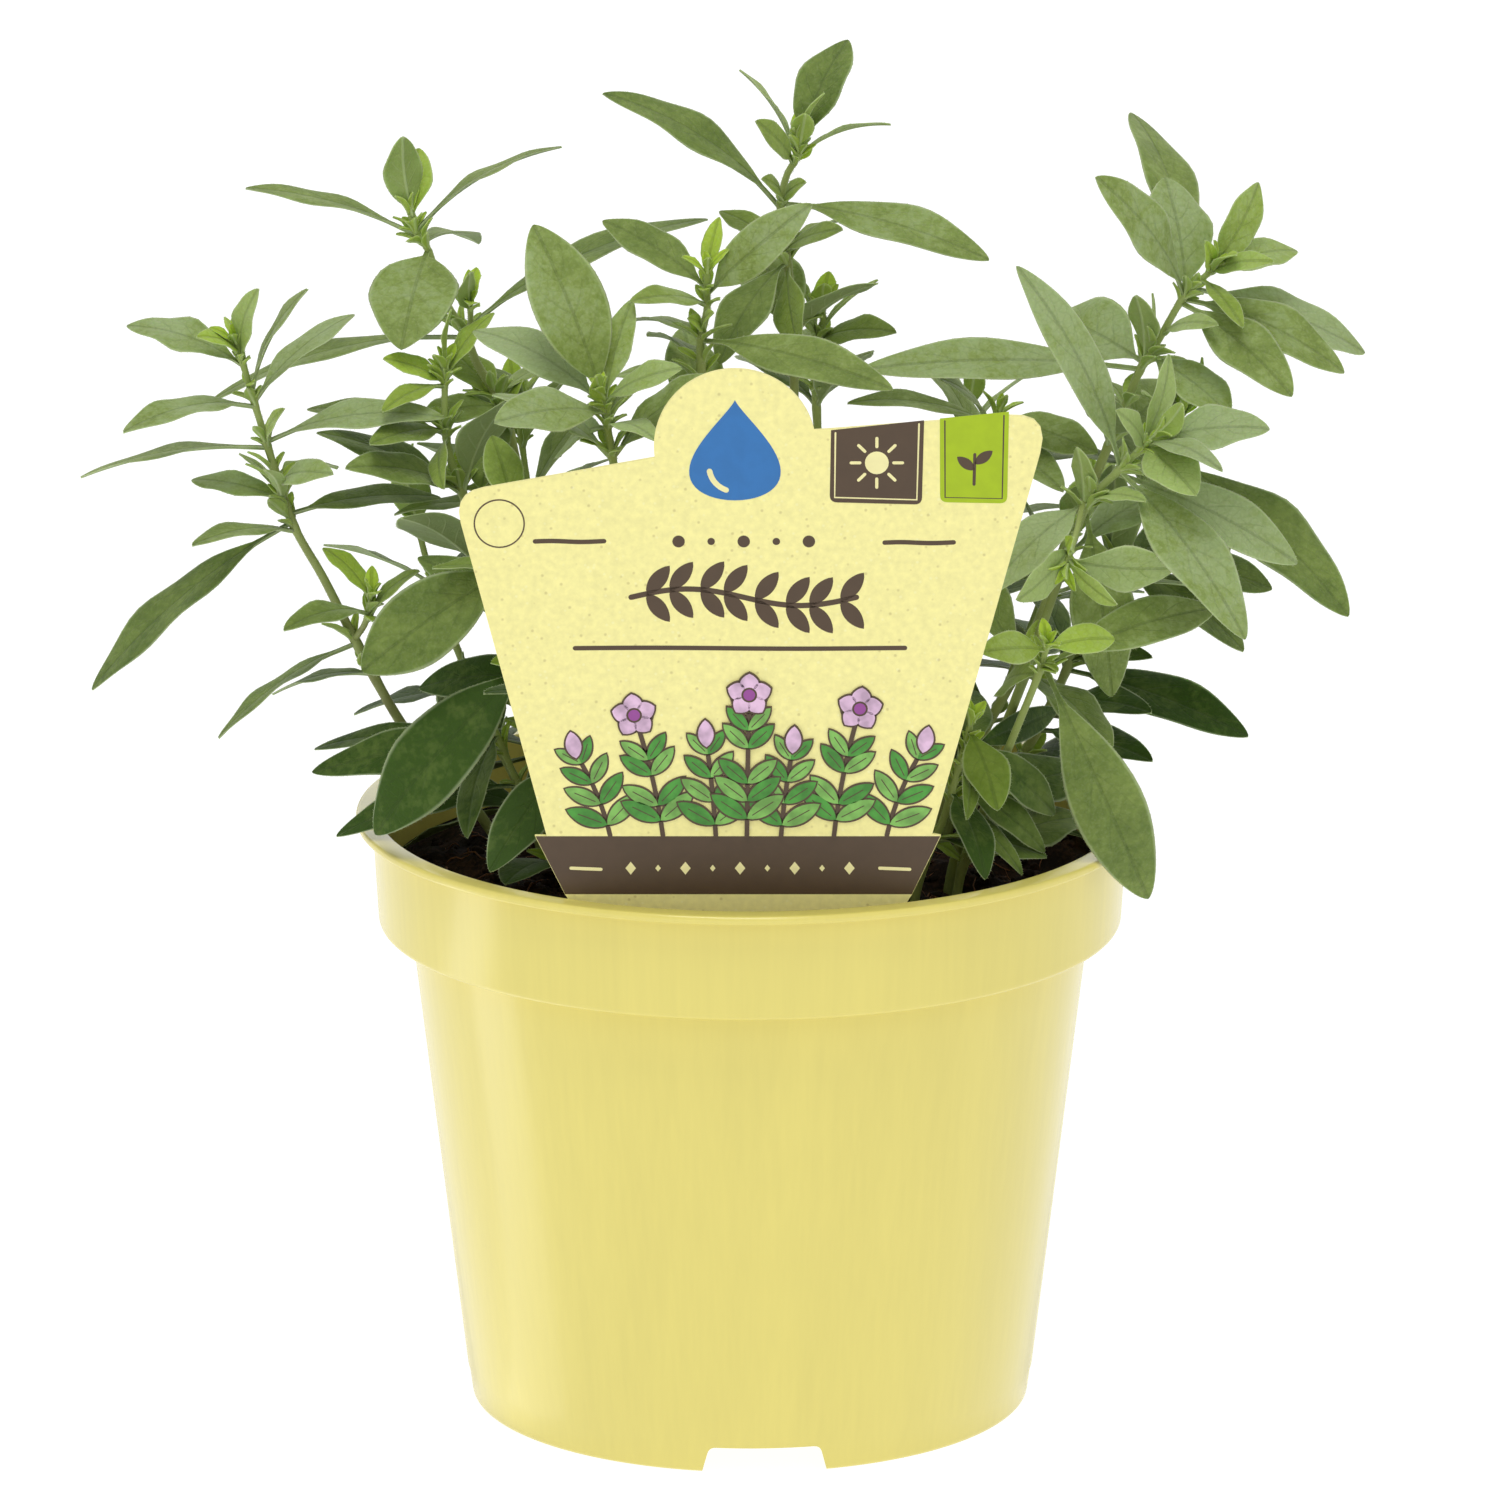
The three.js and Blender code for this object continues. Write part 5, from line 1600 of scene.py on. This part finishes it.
# Sizes in millimetres of a leaf's patches, mottles, felt and net of the finest veins. The felt and
# the net are drawn coarser than they are, so that they show.
PATCH, MOTTLE, FELT, NET_CELL = 7, 1.3, 0.45, 1.5


def leaf_veins(tree, across, along, half, tone):
    """How much of a vein lies at a place, and how near it is to the margin. The side veins leave the
    midrib forwards in curves, fade towards the margin, and are missing on small leaves."""
    away = add(tree, "Math", (across,), operation="ABSOLUTE")
    ratio = add(tree, "Math", (away, half), operation="DIVIDE", use_clamp=True)
    midrib = add(tree, "MapRange", (away, *MIDRIB_FADE, 1.0, 0.0), **SMOOTH)
    square = add(tree, "Math", (ratio, ratio), **TIMES)
    slant = add(tree, "Math", (ratio, -0.2, along), **TIMES_PLUS)
    slant = add(tree, "Math", (square, -0.12, slant), **TIMES_PLUS)
    shift = add(tree, "Math", (tone, 7.0), **TIMES)
    phase = add(tree, "Math", (slant, SIDE_VEINS, shift), **TIMES_PLUS)
    crest = add(tree, "Math", (phase, 0.5), operation="PINGPONG")
    side_vein = add(tree, "MapRange", (crest, 0.41, 0.5), **SMOOTH)
    for fade in ((ratio, 0.35, 0.95, 0.5, 0.0), (half, 1.8, 4.0)):
        share = add(tree, "MapRange", fade, **SMOOTH)
        side_vein = add(tree, "Math", (side_vein, share), **TIMES)
    return add(tree, "Math", (midrib, side_vein), operation="MAXIMUM", use_clamp=True), ratio


def leaf_blade(settings):
    """A living leaf, soft and finely felted. Its upper face is duller and darker, with sunken veins
    painted as dark lines, partly their own colour and partly painted shade in their grooves, and its
    lower face and its margin are paler. Light passes through it."""
    material, tree, shader = new_material(
        "felted_leaf", settings.grown, 0.6, ior=1.4, specular_ior_level=0.35, sheen_weight=0.07,
        sheen_roughness=0.5, sheen_tint=linear(0xE6F0D0), subsurface_weight=0.2,
        subsurface_scale=0.6 * MM, subsurface_radius=(0.6, 1.0, 0.2),
    )
    blade, growth = (
        add(tree, "SeparateXYZ", (add(tree, "Attribute", attribute_name=name).outputs["Vector"],)).outputs
        for name in ("blade", "growth")
    )
    youth, tone, top = growth
    place = add(tree, "TexCoord").outputs["Object"]
    vein, ratio = leaf_veins(tree, *blade, tone)
    cells = {"Vector": place, "Scale": 1 / (NET_CELL * MM)}
    net = add(tree, "TexVoronoi", cells, feature="DISTANCE_TO_EDGE")
    net = add(tree, "MapRange", (net, 0.0, 0.14, 1.0, 0.0), **SMOOTH)
    patches, felt, mottle = (
        add(tree, "TexNoise", {"Vector": place, "Scale": 1 / (size * MM), "Detail": detail})
        for size, detail in ((PATCH, 3.0), (FELT, 3.0), (MOTTLE, 4.0))
    )
    light = tone
    for change in ((patches, 0.3, 0.7, -0.14, 0.14), (mottle, 0.35, 0.65, -0.09, 0.09)):
        light = add(tree, "Math", (light, add(tree, "MapRange", change, **SMOOTH)), operation="ADD")

    def coats(colour, *layers):
        for share, amount, over in layers:
            share = add(tree, "Math", (share, amount), use_clamp=True, **TIMES)
            colour = add(tree, "Mix", {0: share, 6: colour, 7: over}, **COLOURS)
        return colour

    # A low tone, on low and back leaves, is partly painted shade, and darkens both faces
    felted = add(tree, "MapRange", (light, 0.85, 1.35), **SMOOTH)
    upper = coats(
        settings.old_and_shaded, (light, 1, settings.grown), (felted, 1, settings.pale), (youth, 1, settings.young),
        # The dark vein lines are partly the veins' own colour and partly painted shade in their sunken
        # grooves
        (vein, 0.24, linear(0x35491A)), (net, 0.1, linear(0x3E5722)),
    )
    shaded = Vector(settings.under).lerp(Vector(settings.old_and_shaded), 0.5)
    lower = coats(
        shaded, (light, 0.7, settings.under), (youth, 0.6, settings.young),
        (vein, 0.5, linear(0xC4D3A0)),
    )
    margin = add(tree, "MapRange", (ratio, 0.88, 1.0), **SMOOTH)
    bloom = add(tree, "MapRange", (felt, 0.45, 0.75, 0.0, 0.09), **SMOOTH)
    colour = coats(lower, (top, 1, upper), (margin, 0.36, settings.hair), (bloom, tone, settings.hair))
    sunk = add(tree, "MapRange", (top, 0.4, 0.6, 1.0, -1.0), **SMOOTH)
    relief = add(tree, "Math", (vein, sunk), **TIMES)
    relief = add(tree, "Math", (felt, 0.5, relief), **TIMES_PLUS)
    relief = add(tree, "Math", (net, -0.2, relief), **TIMES_PLUS)
    bump = add(tree, "Bump", {"Height": relief, "Strength": 0.55, "Distance": 0.22 * MM})
    feed(tree, shader, {"Base Color": colour, "Normal": bump})
    return material


def green_stem(settings):
    """A herb's square stem: fresh green at the tip, and browner and darker below, partly with age and
    partly as painted shade under the leaves, with a patchy skin.
    """
    material, tree, shader = new_material("herb_stem", settings.stem, 0.5, ior=1.42)
    growth = add(tree, "Attribute", attribute_name="growth").outputs["Vector"]
    t, shade, _ = add(tree, "SeparateXYZ", (growth,)).outputs
    place = add(tree, "TexCoord").outputs["Object"]
    patches = add(tree, "TexNoise", {"Vector": place, "Scale": 1 / (5 * MM), "Detail": 4.0})
    # Painted shade as well as age: the lower part of a stem turns to the old stem colour
    low_down = add(tree, "MapRange", (t, 0.3, 0.9, 1.0, 0.0))
    old_and_shaded = add(tree, "Math", (low_down, shade), use_clamp=True, **TIMES)
    spotted = add(tree, "Math", (old_and_shaded, patches, 0.08), **TIMES_PLUS)
    colour = add(tree, "Mix", {0: spotted, 6: settings.stem, 7: settings.bark}, **COLOURS)
    bump = add(tree, "Bump", {"Height": patches, "Strength": 0.3, "Distance": 0.2 * MM})
    feed(tree, shader, {"Base Color": colour, "Normal": bump})
    return material


def plant_hair(settings):
    """Fine pale hairs. They catch the light as a soft bright fringe."""
    material, tree, shader = new_material("plant_hair", settings.hair, 0.6)
    place = add(tree, "TexCoord").outputs["Object"]
    tint = add(tree, "TexNoise", {"Vector": place, "Scale": 1 / (9 * MM)})
    colour = add(tree, "Mix", {0: tint, 6: settings.under, 7: settings.hair}, **COLOURS)
    feed(tree, shader, {"Base Color": colour})
    return material


class OREGANO_OT_foliage(bpy.types.Operator):
    """Add the leafy stems with their veined leaves and fine hairs"""

    bl_idname = "oregano.foliage"
    bl_label = "Leafy Stems"

    def execute(self, context):
        settings = context.scene.oregano_foliage
        materials = [leaf_blade(settings), green_stem(settings), plant_hair(settings)]
        draws = Draws(LEAF_SEED)
        for name, axes in SHOOTS.items():
            grow_shoot(name, axes, draws, settings, materials)
        return {"FINISHED"}


AIM_BELOW = 60
AIM_HEIGHT = 110.1
IMAGE_SIDE = 1500
PIXELS_PER_MM = 6.0316
SENSOR = 36.0


TABLE_HALF = 6.0
TABLE_GLOW = 0.93
TABLE_GRAIN = 16.7


def light_table(settings):
    """A white opal table, lit from within. Its glow outweighs the light that it reflects."""
    material, tree, shader = new_material(
        "opal_table", settings.table, 0.9, specular_ior_level=0.1, emission_color=(1, 1, 1),
        emission_strength=TABLE_GLOW,
    )
    place = add(tree, "TexCoord").outputs["Object"]
    grain = add(tree, "TexNoise", {"Vector": place, "Scale": 1 / (TABLE_GRAIN * MM)})
    low = tinted(settings.table, 0.97)
    colour = add(tree, "Mix", {0: grain, 6: low, 7: tuple(settings.table)}, **COLOURS)
    feed(tree, shader, {"Base Color": colour})
    return material


def soft_light(name, place, target, width, height, power):
    lamp = bpy.data.lights.new(name, "AREA")
    lamp.shape = "RECTANGLE"
    lamp.size, lamp.size_y = width, height
    lamp.energy = power
    light = bpy.data.objects.new(name, lamp)
    light.location = place
    light.rotation_euler = (Vector(target) - Vector(place)).to_track_quat("-Z", "Y").to_euler()
    bpy.context.scene.collection.objects.link(light)


# The pot's wall leans outwards and mirrors the table, so a panel there makes the pale band up the
# left of the wall. Its corners are in millimetres from the pot's middle.
PANEL_OUTLINE = [
    (-36, -35), (-205, -28), (-262, -66), (-330, -76), (-330, 16), (-262, 14), (-205, 46), (-46, -19)
]


PANEL_REACH = 230
PANEL_FAR_GLOW, PANEL_NEAR_GLOW = 2.5, 1.3
PANEL_RISE = 0.5


def light_panel(settings):
    """A flat opal panel on the table beside the pot, brighter than the table and most so far away."""
    material, tree, shader = new_material(
        "light_panel", settings.table, 0.9, specular_ior_level=0.1, emission_color=(1, 1, 1)
    )
    place = add(tree, "TexCoord").outputs["Object"]
    across = add(tree, "SeparateXYZ", (place,))
    far, near = (AXIS_X - PANEL_REACH) * MM, (AXIS_X - BASE_RADIUS) * MM
    glow = add(tree, "MapRange", (across, far, near, PANEL_FAR_GLOW, PANEL_NEAR_GLOW))
    feed(tree, shader, {"Emission Strength": glow})
    return material


def flat_stage(name, corners, material):
    """A flat piece of the stage. It lights and holds the pot, and is no part of it."""
    mesh = bpy.data.meshes.new(name)
    mesh.from_pydata(corners, [], [tuple(range(len(corners)))])
    mesh.materials.append(material)
    piece = bpy.data.objects.new(name, mesh)
    bpy.context.scene.collection.objects.link(piece)


ROOM_LIGHT = 0.55
# Each soft light's place, width and height in metres, and its power in watts
SOFT_LIGHTS = [
    ("key", (0.1, -1.35, 1.1), 0.6, 0.6, 2.2), ("top", (-0.1, -0.55, 1.55), 0.6, 0.6, 7.4),
    ("back", (0.1, 1.4, 0.55), 1.4, 0.7, 3.2),
]


class OREGANO_OT_stage(bpy.types.Operator):
    """Add the lit table and panel, the soft lights and the camera"""

    bl_idname = "oregano.stage"
    bl_label = "Stage"

    def execute(self, context):
        settings = context.scene.oregano_stage
        scene = context.scene
        corners = [(x * TABLE_HALF, y * TABLE_HALF, 0) for x, y in ((-1, -1), (1, -1), (1, 1), (-1, 1))]
        flat_stage("table", corners, light_table(settings))
        corners = [((x + AXIS_X) * MM, (y + AXIS_Y) * MM, PANEL_RISE * MM) for x, y in PANEL_OUTLINE]
        flat_stage("panel", corners, light_panel(settings))
        world = bpy.data.worlds.new("studio")
        scene.world = world
        world.use_nodes = True
        back = world.node_tree.nodes["Background"]
        back.inputs["Color"].default_value = (1, 1, 1, 1)
        back.inputs["Strength"].default_value = ROOM_LIGHT
        middle = (AXIS_X * MM, AXIS_Y * MM, AIM_HEIGHT * MM)
        for name, place, width, height, power in SOFT_LIGHTS:
            soft_light(name, place, middle, width, height, power)
        camera = bpy.data.cameras.new("camera")
        camera.sensor_width = SENSOR
        distance = settings.distance
        camera.lens = PIXELS_PER_MM * distance / MM / IMAGE_SIDE * SENSOR
        camera.clip_start, camera.clip_end = 0.05, 50
        eye = bpy.data.objects.new("camera", camera)
        back_off = distance * math.cos(settings.elevation)
        height = AIM_BELOW * MM + distance * math.sin(settings.elevation)
        eye.location = (middle[0], middle[1] - back_off, height)
        eye.rotation_euler = (Vector(middle) - eye.location).to_track_quat("-Z", "Y").to_euler()
        scene.collection.objects.link(eye)
        scene.camera = eye
        scene.view_settings.view_transform = "Standard"
        return {"FINISHED"}


class OREGANO_PT_panel(bpy.types.Panel):
    """Lists the pieces and their settings"""

    bl_idname = "OREGANO_PT_panel"
    bl_label = "Potted Oregano"
    bl_space_type = "VIEW_3D"
    bl_region_type = "UI"
    bl_category = "Oregano"

    def draw(self, context):
        for piece in PIECES:
            box = self.layout.box()
            box.operator(f"oregano.{piece}")
            settings = getattr(context.scene, f"oregano_{piece}")
            for name in settings.__annotations__:
                box.prop(settings, name)


PIECES = {
    "pot": PotSettings,
    "soil": SoilSettings,
    "label": LabelSettings,
    "foliage": FoliageSettings,
    "stage": StageSettings,
}
OPERATORS = (
    OREGANO_OT_pot, OREGANO_OT_soil, OREGANO_OT_label, OREGANO_OT_foliage, OREGANO_OT_stage
)


def register():
    for item in (*PIECES.values(), *OPERATORS, OREGANO_PT_panel):
        bpy.utils.register_class(item)
    for piece, settings in PIECES.items():
        setattr(bpy.types.Scene, f"oregano_{piece}", bpy.props.PointerProperty(type=settings))


def unregister():
    for piece in PIECES:
        delattr(bpy.types.Scene, f"oregano_{piece}")
    for item in reversed((*PIECES.values(), *OPERATORS, OREGANO_PT_panel)):
        bpy.utils.unregister_class(item)


def main():
    """Builds every piece."""
    register()
    for piece in PIECES:
        getattr(bpy.ops.oregano, piece)()


if __name__ == "__main__":
    main()
